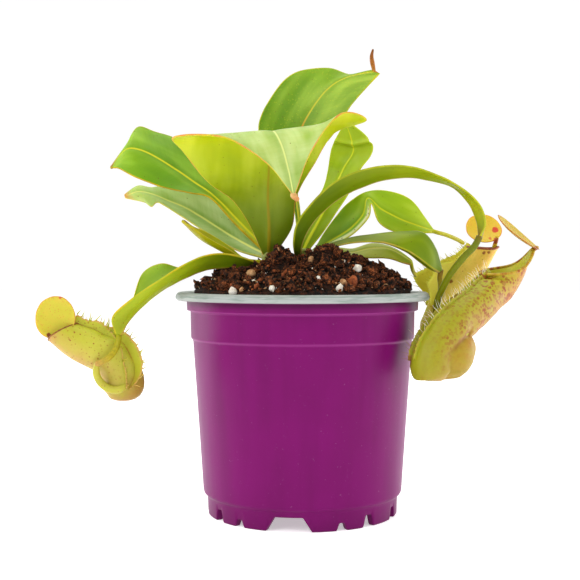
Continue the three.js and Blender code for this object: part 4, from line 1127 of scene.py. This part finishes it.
# Stations from the foot to the mouth as x, y, z and radius, the way that the winged front
# faces, the mouth's normal, the rise of the rim to the neck, the size of the rim's bead, and
# grooves pressed into the wall as angle from the front, width in degrees, depth and the
# stretch that they run over.
PITCHERS = {
    "pitcher_left": {
        "axis": [(-80, -32, 56.4, 3.5), (-80, -32, 57.8, 6.4), (-80, -32, 62.5, 9.1),
                 (-81.2, -32.6, 69.6, 9.1), (-85.5, -34.6, 76, 8.7), (-92, -37, 79.4, 8.3),
                 (-98.4, -39, 83.1, 7.9), (-104.3, -41, 87, 6.5)],
        "front": (0.75, 0.1, 0.65), "mouth": (-0.52, 0.2, 0.83), "neck": (0, 0, 0), "bead": 0.35,
        "grooves": [(-30, 8, 0.3, 0.35, 0.95), (60, 8, 0.3, 0.3, 0.9)],
    },
    "pitcher_front_right": {
        "axis": [(57, -33, 65.3, 3), (57, -33, 66.3, 6.5), (56.7, -33, 69.5, 8.9),
                 (57.4, -32, 74.2, 9.5), (59.8, -30, 79.4, 9.6), (65.3, -26, 86.2, 9.5),
                 (72.3, -20, 92.2, 9.1), (79.4, -13.4, 97, 8.8), (85.4, -7, 101.6, 8.8),
                 (90.3, -2, 105.3, 9), (94.2, 1.8, 109.2, 9.4), (96.6, 3.4, 113.4, 10.2)],
        "front": (-0.7, 0, 0.7), "mouth": (-0.07, -0.12, 0.99), "neck": (1.5, -1.5, 9), "bead": 0.7,
        "heel": True,
        "grooves": [(50, 9, 0.35, 0.16, 0.93), (-34, 9, 0.4, 0.2, 0.9)],
    },
    "pitcher_back_right": {
        "axis": [(65.5, 33, 80, 4), (66.5, 33, 83.5, 7), (70, 33, 91.5, 8), (74, 33, 100, 8.6),
                 (79, 32, 108.5, 8.6), (85, 30, 117, 7.8), (90, 28, 124.5, 6.6)],
        "front": (-0.88, 0, 0.46), "mouth": (0.1, -0.06, 0.99), "neck": (0.5, 0, 1.5), "bead": 0.5,
        "grooves": [(52, 8, 0.3, 0.3, 0.95), (-40, 8, 0.3, 0.3, 0.95)],
    },
}


def pitcher_frame(pitcher, t):
    """The section's centre, direction, front, side and radius at t."""
    station = curve_point(pitcher["axis"], t)
    tangent = direction(pitcher["axis"], t, 0.001)
    front = pitcher["front"] - tangent * pitcher["front"].dot(tangent)
    front.normalize()
    return station.to_3d(), tangent, front, -front.cross(tangent), station.w


# The front pitcher's foot swells out backwards into a heel, set off above by a crease that
# fades downwards: its middle, its half lengths along, in depth and across, how thick it is
# where it starts to show, and how softly it flows into the tube, from its foot upwards.
HEEL_CENTRE = Vector((68, -28, 76))
HEEL_SIZE = (11.5, 9.6, 8.6)
HEEL_START = 3.5
HEEL_SOFT = (5.5, 1.2)
heel_along = Vector((0.5, 0.1, 0.86)).normalized()
heel_across = Vector((0, 1, 0)).cross(heel_along).normalized()
HEEL_WAYS = (heel_along, heel_across.cross(heel_along), heel_across)


def heel_reach(centre, spoke, radius, t):
    """How far the wall stands out along a spoke where the heel and the tube flow together."""
    place, step = (Vector(line.dot(way) / size for way, size in zip(HEEL_WAYS, HEEL_SIZE))
                   for line in (centre - HEEL_CENTRE, spoke))
    middle = -place.dot(step) / step.dot(step)
    within = middle * middle - (place.dot(place) - 1) / step.dot(step)
    if within <= 0:
        return radius
    half = math.sqrt(within)
    share = min(1, half / HEEL_START)
    far = radius + (middle + half - radius) * share * share * (3 - 2 * share)
    soft = HEEL_SOFT[0] + (HEEL_SOFT[1] - HEEL_SOFT[0]) * held((t - 0.22) / 0.25)
    close = max(0, soft - abs(far - radius)) / soft
    return max(far, radius) + close * close * soft / 4 * share


# The crease over the heel as seen from the front, from its sharp end down as x and z, and
# the depths of the step at it and of the line along it
CREASE = (Vector((77.5, 89)), Vector((60, 75)))
CREASE_STEP = 2.6
CREASE_LINE = 0.9


def crease_depth(point):
    """How deep the wall is pressed in along the crease and over the heel under it."""
    way = CREASE[1] - CREASE[0]
    gap = Vector((point.x, point.z)) - CREASE[0]
    share = gap.dot(way) / way.dot(way)
    under = (way.x * gap.y - way.y * gap.x) / way.length
    fade = held((1 - share) / 0.6) * held((-28 - point.y) / 3) * held((share + 0.3) / 0.2)
    step = math.exp(-under / 7) / (1 + math.exp(-under / 0.3)) if under > -6 else 0
    depth = CREASE_STEP * step + CREASE_LINE * bell(under, 0.8)
    return fade * depth, fade * bell(under, 0.9)


def pitcher_row(pitcher, t, offset=0.0, lift=0.0, inside=0.0, rim=0.0, scale=1.0):
    """A ring of the pitcher at t, tipped into the mouth's plane towards the top."""
    centre, tangent, front, aside, radius = pitcher_frame(pitcher, t)
    plane = tangent.lerp(pitcher["mouth"], held((t - 0.45) / 0.55) ** 1.5).normalized()
    climb = held((t - 0.8) / 0.2)
    centre = centre + pitcher["mouth"] * lift
    heeled = "heel" in pitcher and inside == 0

    def section(turn):
        reach = radius + offset
        for angle, width, depth, low, high in pitcher["grooves"]:
            off = (math.degrees(turn) - angle + 180) % 360 - 180
            reach -= depth * bell(off, width) * (held((t - low) / 0.08) * held((high - t) / 0.06))
        way = front * math.cos(turn) + aside * math.sin(turn)
        if heeled:
            reach = heel_reach(centre, way, reach, t)
        spoke = way * (reach * scale)
        swell = noise.fractal((centre + spoke) / 9, 1.0, 2.0, 2) * 0.45 * (1 - climb)
        if scale > 0.05:
            spoke += spoke.normalized() * (swell * scale)
        spoke += tangent * (-spoke.dot(plane) / tangent.dot(plane))
        rise = climb * ((1 - math.cos(turn)) / 2) ** 7
        point = centre + spoke + pitcher["neck"] * (rise * min(1, scale * 2))
        fold = 0.0
        if heeled:
            depth, fold = crease_depth(point)
            point.y += depth
        return point, t, math.cos(turn), math.sin(turn), inside, rim, 0.0, fold
    return section


def pitcher_rows(pitcher):
    """Up the outside from the rounded foot, over the rim's bead and down the inside."""
    rows = [pitcher_row(pitcher, 0, scale=scale) for scale in (0, 0.5, 0.85)]
    rows += [pitcher_row(pitcher, i / PITCHER_ROWS) for i in range(PITCHER_ROWS + 1)]
    size = pitcher["bead"]
    for degrees in BEAD_DEGREES:
        bead = math.radians(degrees)
        offset, lift = size * math.cos(bead) - 0.2 * size, size * (math.sin(bead) + 0.85)
        rows.append(pitcher_row(pitcher, 1, offset, lift, rim=1.0))
    rows += [pitcher_row(pitcher, i / PITCHER_ROWS, -WALL, inside=1.0)
             for i in range(PITCHER_ROWS, 3, -2)]
    rows.append(pitcher_row(pitcher, 0.04, -WALL, inside=1.0, scale=0))
    return rows


# How each is coloured: from foot to mouth, the back's blush and how strong it is, the size
# and share of the red-brown specks, the rim's two colours, the wings' crease, sheet and
# fringe, the inside, tints as x, y, z, radius, blur and colour, and blotches as x, y, z and
# radius.
PITCHER_LOOKS = {
    "pitcher_left": {
        "skin": [(0, "a87454"), (0.1, "9c783c"), (0.2, "9c9028"), (0.7, "b4b03c"), (1, "aaa42c")],
        "blush": ("b8705a", 0.6), "specks": (1.7, 0.2), "rim": ("6b3a14", "8a5a20"),
        "wing": ("a4602c", "acb024", "c09450"), "inside": "b4ac34", "blotches": [],
        "tints": [(-68, -36, 59, 10, 6, "9c7430")],
    },
    "pitcher_front_right": {
        "skin": [(0, "98802a"), (0.2, "8e861a"), (0.45, "908c12"), (0.7, "9c941a"), (1, "aca026")],
        "blush": ("b0602c", 0.8), "specks": (1.6, 0.45), "rim": ("8a3c14", "b09820"),
        "wing": ("8c8c14", "949a14", "a89c30"), "inside": "b0ae28",
        "tints": [(46.5, -33, 74.5, 2.2, 1.6, "7a4014"), (58, -33, 64, 6, 4, "a07c2c")],
        "blotches": [(96.5, -5.5, 109.5, 1.1), (93.5, -7, 105.3, 1.2), (72.5, -28, 88, 1.2),
                     (64, -36, 84.5, 0.9), (76, -26, 91.5, 1.3), (83.5, -19, 95, 1.1)],
    },
    "pitcher_back_right": {
        # Its skin and wings are lighter than the other pitchers': partly its own paler yellow,
        # partly painted light where the front pitcher and leaves shade it.
        "skin": [(0, "b0a428"), (0.3, "c4b438"), (0.6, "dcc454"), (1, "dab848")],
        "blush": ("c08040", 0.3), "specks": (2.6, 0.12), "rim": ("6b2c10", "8a4622"),
        "wing": ("c8c040", "b8bc20", "ccd040"), "inside": "c4ac38", "tints": [],
        "blotches": [(89.6, 21, 122.5, 0.9), (92.2, 21.5, 122.6, 0.8), (74, 25, 108.5, 1.0)],
    },
}


def pitcher_finish(name, look):
    """Leathery pitcher skin: yellow-green, blushed at the back, with red-brown specks."""
    finish = Finish(name, Specular_IOR_Level=0.25, Subsurface_Weight=0.12, Subsurface_Scale=0.002)
    run, front, aside, inside, rim, wing, fold = (finish.mark(mark) for mark in PITCHER_MARKS)
    point = finish.place()
    cloud = finish.grain(point, 7, 3)
    fine = finish.grain(point, 1.1, 3)
    warp = finish.grain(point, 4, 2)
    skin = colour_run(finish, run + (cloud - 0.5) * 0.15, look["skin"])
    skin = finish.blend(fine.above(0.55, 0.2) * 0.2, skin, "9aa014")
    blush, strength = look["blush"]
    back = ((0.25 - front) * 0.9).held() * (cloud * 1.4 - 0.1).held()
    skin = finish.blend((back * strength * (run * 1.3 + 0.2)).held(), skin, blush)
    crease, sheet, fringe = look["wing"]
    seam = (front - 0.62) * 3.0
    skin = finish.blend(seam.held() * 0.6, skin, sheet)
    skin = finish.blend((wing / 0.05).held() * wing.below(0.36, 0.12) * 0.8, skin, crease)
    skin = finish.blend(wing.above(0.88, 0.08) * 0.8, skin, fringe)
    size, share = look["specks"]
    torn = (finish.grain(point, 0.6, 2) - 0.5) * 0.3
    spread = (run * 2.0 - 0.4 + (0.3 - front) * 0.35).held() * (warp * 2.4 - 0.5).held()
    spread = spread * (1.0 - (-front * 2.5 - 0.6).held() * run.below(0.5, 0.15) * 0.85)
    small = (finish.cells(point, size) + torn).below(share, 0.1)
    broad = (finish.cells(point, size * 2.2) + torn).below(share * 0.9, 0.1)
    broad = broad * cloud.above(0.5, 0.06)
    specks = ((small + broad * 0.8) * spread).held()
    skin = finish.blend(specks * 0.85, skin, "84300f")
    for *centre, radius in look["blotches"]:
        blotch = (finish.gap(point, centre) + (fine - 0.5) * 1.6).below(radius, 0.5)
        skin = finish.blend(blotch * 0.85, skin, "7a2c12")
    for *centre, radius, blur, colour in look["tints"]:
        tint = (finish.gap(point, centre) + (cloud - 0.5) * blur).below(radius, blur)
        skin = finish.blend(tint * 0.8, skin, colour)
    # Painted shade: a dark brown line along the crease over the heel.
    skin = finish.blend(fold * 0.85, skin, "84500e")
    dots = finish.cells(point, 2.6).below(0.06, 0.03)
    skin = finish.blend(dots * 0.7, skin, "5a3a10")
    skin = finish.blend(inside, skin, look["inside"])
    stripes = finish.grain(finish.vector(front, aside, 0.0), 0.2, 4)
    lip = finish.blend(stripes.below(0.46, 0.2), look["rim"][1], look["rim"][0])
    skin = finish.blend(rim, skin, lip)
    bump = finish.relief((cloud, 0.3, 0.8), (fine, 0.25, 0.2))
    finish.surface(Base_Color=skin, Roughness=0.4 + fine * 0.14, Normal=bump)
    return finish.material


pitcher_meshes = {}
for name, pitcher in PITCHERS.items():
    pitcher["axis"] = [Vector(station) for station in pitcher["axis"]]
    for line in ("front", "mouth", "neck"):
        pitcher[line] = Vector(pitcher[line])
    pitcher["mouth"].normalize()
    form, steps = rows_form(pitcher_rows(pitcher))
    pitcher_meshes[name] = closed_skin(PITCHER_SIDES, steps, form, PITCHER_MARKS)


def add_rod(bm, stations, sides, marks):
    """A round rod with rounded ends through stations of x, y, z and radius."""
    stations = [Vector(station) for station in stations]
    count = max(6, round(length_of(stations) / ROD_STEP))
    side = Vector((0.3, 0.5, 0.8))
    ends = (*ROUND_END, 1)
    plan = [(0, -push) for push in reversed(ends)]
    plan += [(i / count, 0) for i in range(count + 1)] + [(1, push) for push in ends]
    form, steps = rows_form([tendril_row(stations, s, push, 0, side) for s, push in plan])
    closed_skin(sides, steps, lambda a, b: (form(a, b)[0], *marks.values()), tuple(marks), bm)


# The left pitcher hangs from the end of its tendril, which loops under it as a thick hook.
HOOK = [(-89.3, -46.6, 73.6, 1.3), (-89.8, -46, 71.3, 1.5), (-89.7, -44.4, 68.6, 1.6),
        (-88.6, -42.2, 65.6, 1.7), (-86.2, -40.6, 63.2, 1.8), (-83, -41, 62.1, 1.8),
        (-79.8, -41.2, 62.6, 1.7), (-77.6, -40.4, 64, 1.2)]
HOOK_MARKS = dict.fromkeys(PITCHER_MARKS, 0.0) | {"run": 0.5, "front": 0.6}
add_rod(pitcher_meshes["pitcher_left"], HOOK, 24, HOOK_MARKS)


# Wings: two thin ribbons down each pitcher's front, ragged at the edge and set with soft
# bristles, pale at the tips and darker towards the foot.
WING_FOOT_HALF = 0.75
WING_EDGE_HALF = 0.25
WING_SIDES = 26
WING_ROWS = 110
FRONT_HEIGHTS = (1.1, 1.3, 1.3, 1.2, 1.1, 1, 0.8)
# Angles from the front along the wing, from and to along the pitcher, heights along the
# wing, then the bristles: how many, how long and how thick
WINGS = {
    "pitcher_left": [
        ((-84, -80, -68, -12, -4, -2, -2), 0.28, 1.0,
         (0.4, 0.6, 0.6, 0.3, 2.6, 3.8, 2.2, 3.2), 18, 4.0, 0.36),
        ((-78, -52, -34, -5, 18, 30, 34), 0.28, 0.92,
         (0.4, 3, 4.5, 4.5, 4, 3, 2.2, 1.5, 1), 27, 4.2, 0.34)],
    "pitcher_front_right": [
        ((-8, -8), 0.24, 0.86, FRONT_HEIGHTS, 34, 4.6, 0.15),
        ((24, 24), 0.24, 0.86, FRONT_HEIGHTS, 38, 4.8, 0.15)],
    "pitcher_back_right": [
        ((-20, -20), 0.36, 0.97, (0.6, 3, 12, 10, 6.5, 4, 1.5, 1, 1), 34, 3.0, 0.24),
        ((34, 34), 0.36, 0.95, (0.6, 3, 8, 8, 9, 3, 1, 1), 34, 3.0, 0.24)],
}


def along_list(values, share):
    """A number read smoothly from a list at a share of its length."""
    return curve_point([Vector((value, 0, 0)) for value in values], share).x


def wing_reach(pitcher, wing, share):
    """The frame of a wing at a share of its length: centre, directions, radius and height."""
    angles, low, high, heights = wing[:4]
    centre, tangent, front, aside, radius = pitcher_frame(pitcher, low + (high - low) * share)
    turn = math.radians(along_list(angles, share))
    out = front * math.cos(turn) + aside * math.sin(turn)
    return centre, tangent, out, radius, along_list(heights, share)


def wing_edge(pitcher, wing, share):
    """The point on a wing's ragged edge."""
    centre, tangent, out, radius, height = wing_reach(pitcher, wing, share)
    ragged = 0.45 * noise.noise(Vector((share * 46, wing[0][0], 0)))
    ragged += 0.35 * noise.noise(Vector((share * 120, 3, 0)))
    return centre + out * (radius + height + 0.3 + ragged * min(1.5, height)), tangent, out


def wing_form(pitcher, wing):
    """A ribbon from inside the wall out to the ragged edge, thinner and curled at its edge."""
    def form(a, b):
        share = held(b)
        centre, tangent, out, radius, height = wing_reach(pitcher, wing, share)
        turn = 2 * math.pi * a
        up = (1 - math.cos(turn)) / 2
        foot = centre + out * (radius * 0.8)
        edge = wing_edge(pitcher, wing, share)[0]
        flat = out.cross(tangent).normalized()
        half = WING_FOOT_HALF + (WING_EDGE_HALF - WING_FOOT_HALF) * up
        half *= math.sqrt(max(0, 1 - (2 * up - 1) ** 8))
        taper = min(1, share / 0.03, (1 - share) / 0.03)
        curl = 0.3 * min(1, height) * up * up * math.sin(share * 23 + wing[0][0])
        point = foot.lerp(edge, up) + flat * (math.copysign(half, math.sin(turn)) * taper + curl)
        return point, 0.2 + 0.7 * share, 1.0, 0.0, 0.0, 0.0, 0.1 + 0.9 * up, 0.0
    return form


for name, wings in WINGS.items():
    for wing in wings:
        form = wing_form(PITCHERS[name], wing)
        closed_skin(WING_SIDES, WING_ROWS, form, PITCHER_MARKS, pitcher_meshes[name])
for name, mesh in pitcher_meshes.items():
    finish = pitcher_finish(name + "_skin", PITCHER_LOOKS[name])
    add_piece(name + "_trap", mesh, finish, [name])


bristle = bmesh.new()
bmesh.ops.create_cone(bristle, cap_ends=True, segments=4, radius1=1, radius2=0.25, depth=1,
                      matrix=Matrix.Translation((0, 0, 0.5)))
upright = [edge for edge in bristle.edges if abs(edge.verts[0].co.z - edge.verts[1].co.z) > 0.5]
bmesh.ops.subdivide_edges(bristle, edges=upright, cuts=3, use_grid_fill=True)
bmesh.ops.recalc_face_normals(bristle, faces=bristle.faces)
BRISTLE = pattern_of(bristle)


def add_bristle(bm, root, way, bend, length, radius):
    """A bristle from its root, leaning one way and bent another."""
    side = way.orthogonal().normalized()
    other = way.cross(side)

    def shaped(corner):
        rise = corner.z
        point = root + way * (rise * length) + bend * (rise * rise * length)
        return point + (side * corner.x + other * corner.y) * radius
    add_copy(bm, BRISTLE, shaped)


def bristle_finish(name, tip, foot, low, high):
    """Soft translucent bristle, brown towards the pitcher's foot and pale above."""
    finish = Finish(name, Roughness=0.5, Specular_IOR_Level=0.4, Subsurface_Weight=0.1,
                    Subsurface_Scale=0.001)
    point = finish.place()
    height = finish.parts(point)[2] + (finish.grain(point, 2.5, 2) - 0.5) * 6.0
    fade = ((height - low) / (high - low)).held()
    finish.surface(Base_Color=finish.blend(fade, foot, tip))
    return finish.material


# Colours at the tip and the foot, and the heights between which one gives way to the other
BRISTLE_COLOURS = {
    "pitcher_left": ("b4b028", "b89440", 66.0, 78.0),
    "pitcher_front_right": ("f2ead0", "8a5a30", 82.0, 94.0),
    "pitcher_back_right": ("bcbc28", "bcb430", 90.0, 110.0),
}
for name, wings in WINGS.items():
    bristles = bmesh.new()
    for wing in wings:
        count, length, thick = wing[4:]
        for k in range(count):
            share = (k + random.random()) / count
            root, tangent, out = wing_edge(PITCHERS[name], wing, share)
            flat = out.cross(tangent)
            way = out + tangent * random.uniform(-0.2, 0.5) + flat * random.uniform(-0.35, 0.35)
            bend = tangent * random.uniform(-0.2, 0.35) + flat * random.uniform(-0.4, 0.4)
            reach = length * random.uniform(0.55, 1.1)
            add_bristle(bristles, root - out * 0.4, way.normalized(), bend, reach, thick)
    finish = bristle_finish(name + "_bristle", *BRISTLE_COLOURS[name])
    add_piece(name + "_bristles", bristles, finish)


# Lids: thin domed flaps of yellow leaf with a few red gland spots, each held over its mouth
# by a short neck at the back of the rim.
LID_HALF = 0.4
LID_SIDES = 72
LID_ROWS = 48
LID_MARKS = ("share",)
# Centre, the ways along and across with their half lengths, how domed, where the neck starts
# on the rim, two colours, the edge's colour, and spots as x, z, radius and colour
LIDS = {
    "lid_left": {
        "centre": (-107.5, -44, 94), "along": (0.25, -0.1, 0.96), "across": (0.97, 0.06, -0.2),
        "length": 9.6, "width": 8.6, "dome": 1.4, "neck": (-110.5, -41.5, 85),
        "skin": ("b0a620", "beb63a"), "rim": "c4843c",
        "spots": [(-110.4, 86.3, 1.0, "6a1408"), (-104.9, 102.6, 0.6, "b0502c")],
    },
    "lid_front_right": {
        "centre": (102.4, 6, 130.8), "along": (-0.78, 0, 0.63), "across": (0.19, 0.95, 0.2),
        "length": 12.9, "width": 9.5, "dome": 1.6, "neck": (110, 4.4, 123.9),
        "skin": ("a88c14", "b09c20"), "rim": "a8442c",
        "spots": [(111, 124.2, 1.6, "8a4a18")],
    },
    "lid_back_right": {
        "centre": (91, 30, 134), "along": (-0.72, 0.4, 0.5), "across": (0.68, 0.36, 0.62),
        "length": 9.2, "width": 8.4, "dome": 1.4, "neck": (96, 28, 125.5),
        "skin": ("c4a41c", "ccb434"), "rim": "c07834",
        "spots": [(96.5, 134.1, 1.5, "b81c08"), (96.3, 128.6, 1.5, "8a2c0c"),
                  (95, 127.8, 1.0, "a84a1c"), (93.4, 129.8, 0.7, "b8621c")],
    },
}


def lid_form(lid):
    """A domed oval flap with a slightly frilled edge, from its upper to its under face."""
    along, across = lid["along"], lid["across"]
    out = along.cross(across)

    def form(a, b):
        turn = 2 * math.pi * a
        share = min(1, 2 * b if b < 0.5 else 2 * (1 - b))
        side = 1 if b < 0.5 else -1
        frill = 1 + 0.008 * math.sin(turn * 5 + 1) * share + 0.004 * math.sin(turn * 11) * share
        round_edge = math.sqrt(max(0, 1 - share ** 10))
        drop = lid["dome"] * share ** 2 - side * LID_HALF * round_edge
        drop += 0.35 * math.sin(2 * turn + 0.6) * share ** 2
        point = (lid["centre"] + along * (lid["length"] * share * frill * math.cos(turn))
                 + across * (lid["width"] * share * frill * math.sin(turn)) - out * drop)
        return point, share
    return form


def lid_finish(name, lid):
    """Thin yellow lid skin, clouded and finely veined, with its own few spots."""
    finish = Finish(name, Specular_IOR_Level=0.25, Subsurface_Weight=0.2, Subsurface_Scale=0.002)
    share = finish.mark("share")
    point = finish.place()
    x, _, z = finish.parts(point)
    cloud = finish.grain(point, 5, 3)
    fine = finish.grain(point, 0.9, 3)
    skin = finish.blend(cloud, lid["skin"][0], lid["skin"][1])
    skin = finish.blend(cloud.above(0.6, 0.2) * 0.2, skin, "d08a2c")
    freckles = finish.cells(point, 1.05).below(0.2, 0.12)
    skin = finish.blend(freckles * 0.6, skin, "b8602a")
    skin = finish.blend(share.above(0.965, 0.03) * 0.7, skin, lid["rim"])
    for cx, cz, radius, colour in lid["spots"]:
        gap = ((x - cx) ** 2.0 + (z - cz) ** 2.0) ** 0.5
        spot = (gap + (fine - 0.5)).below(radius, 0.35)
        skin = finish.blend(spot * 0.92, skin, colour)
    bump = finish.relief((fine, 0.25, 0.15))
    finish.surface(Base_Color=skin, Roughness=0.42 + fine * 0.1, Normal=bump)
    return finish.material


for name, lid in LIDS.items():
    for line in ("centre", "along", "across"):
        lid[line] = Vector(lid[line])
    lid["along"].normalize()
    lid["across"] -= lid["along"] * lid["across"].dot(lid["along"])
    lid["across"].normalize()
    flap = closed_skin(LID_SIDES, LID_ROWS, lid_form(lid), LID_MARKS)
    out = lid["along"].cross(lid["across"])
    root = lid["centre"] - lid["along"] * (lid["length"] * 0.88) - out * lid["dome"]
    add_rod(flap, [(*lid["neck"], 1.15), (*root, 1.0)], 18, {"share": 0.5})
    add_piece(name + "_flap", flap, lid_finish(name + "_skin", lid), [name])
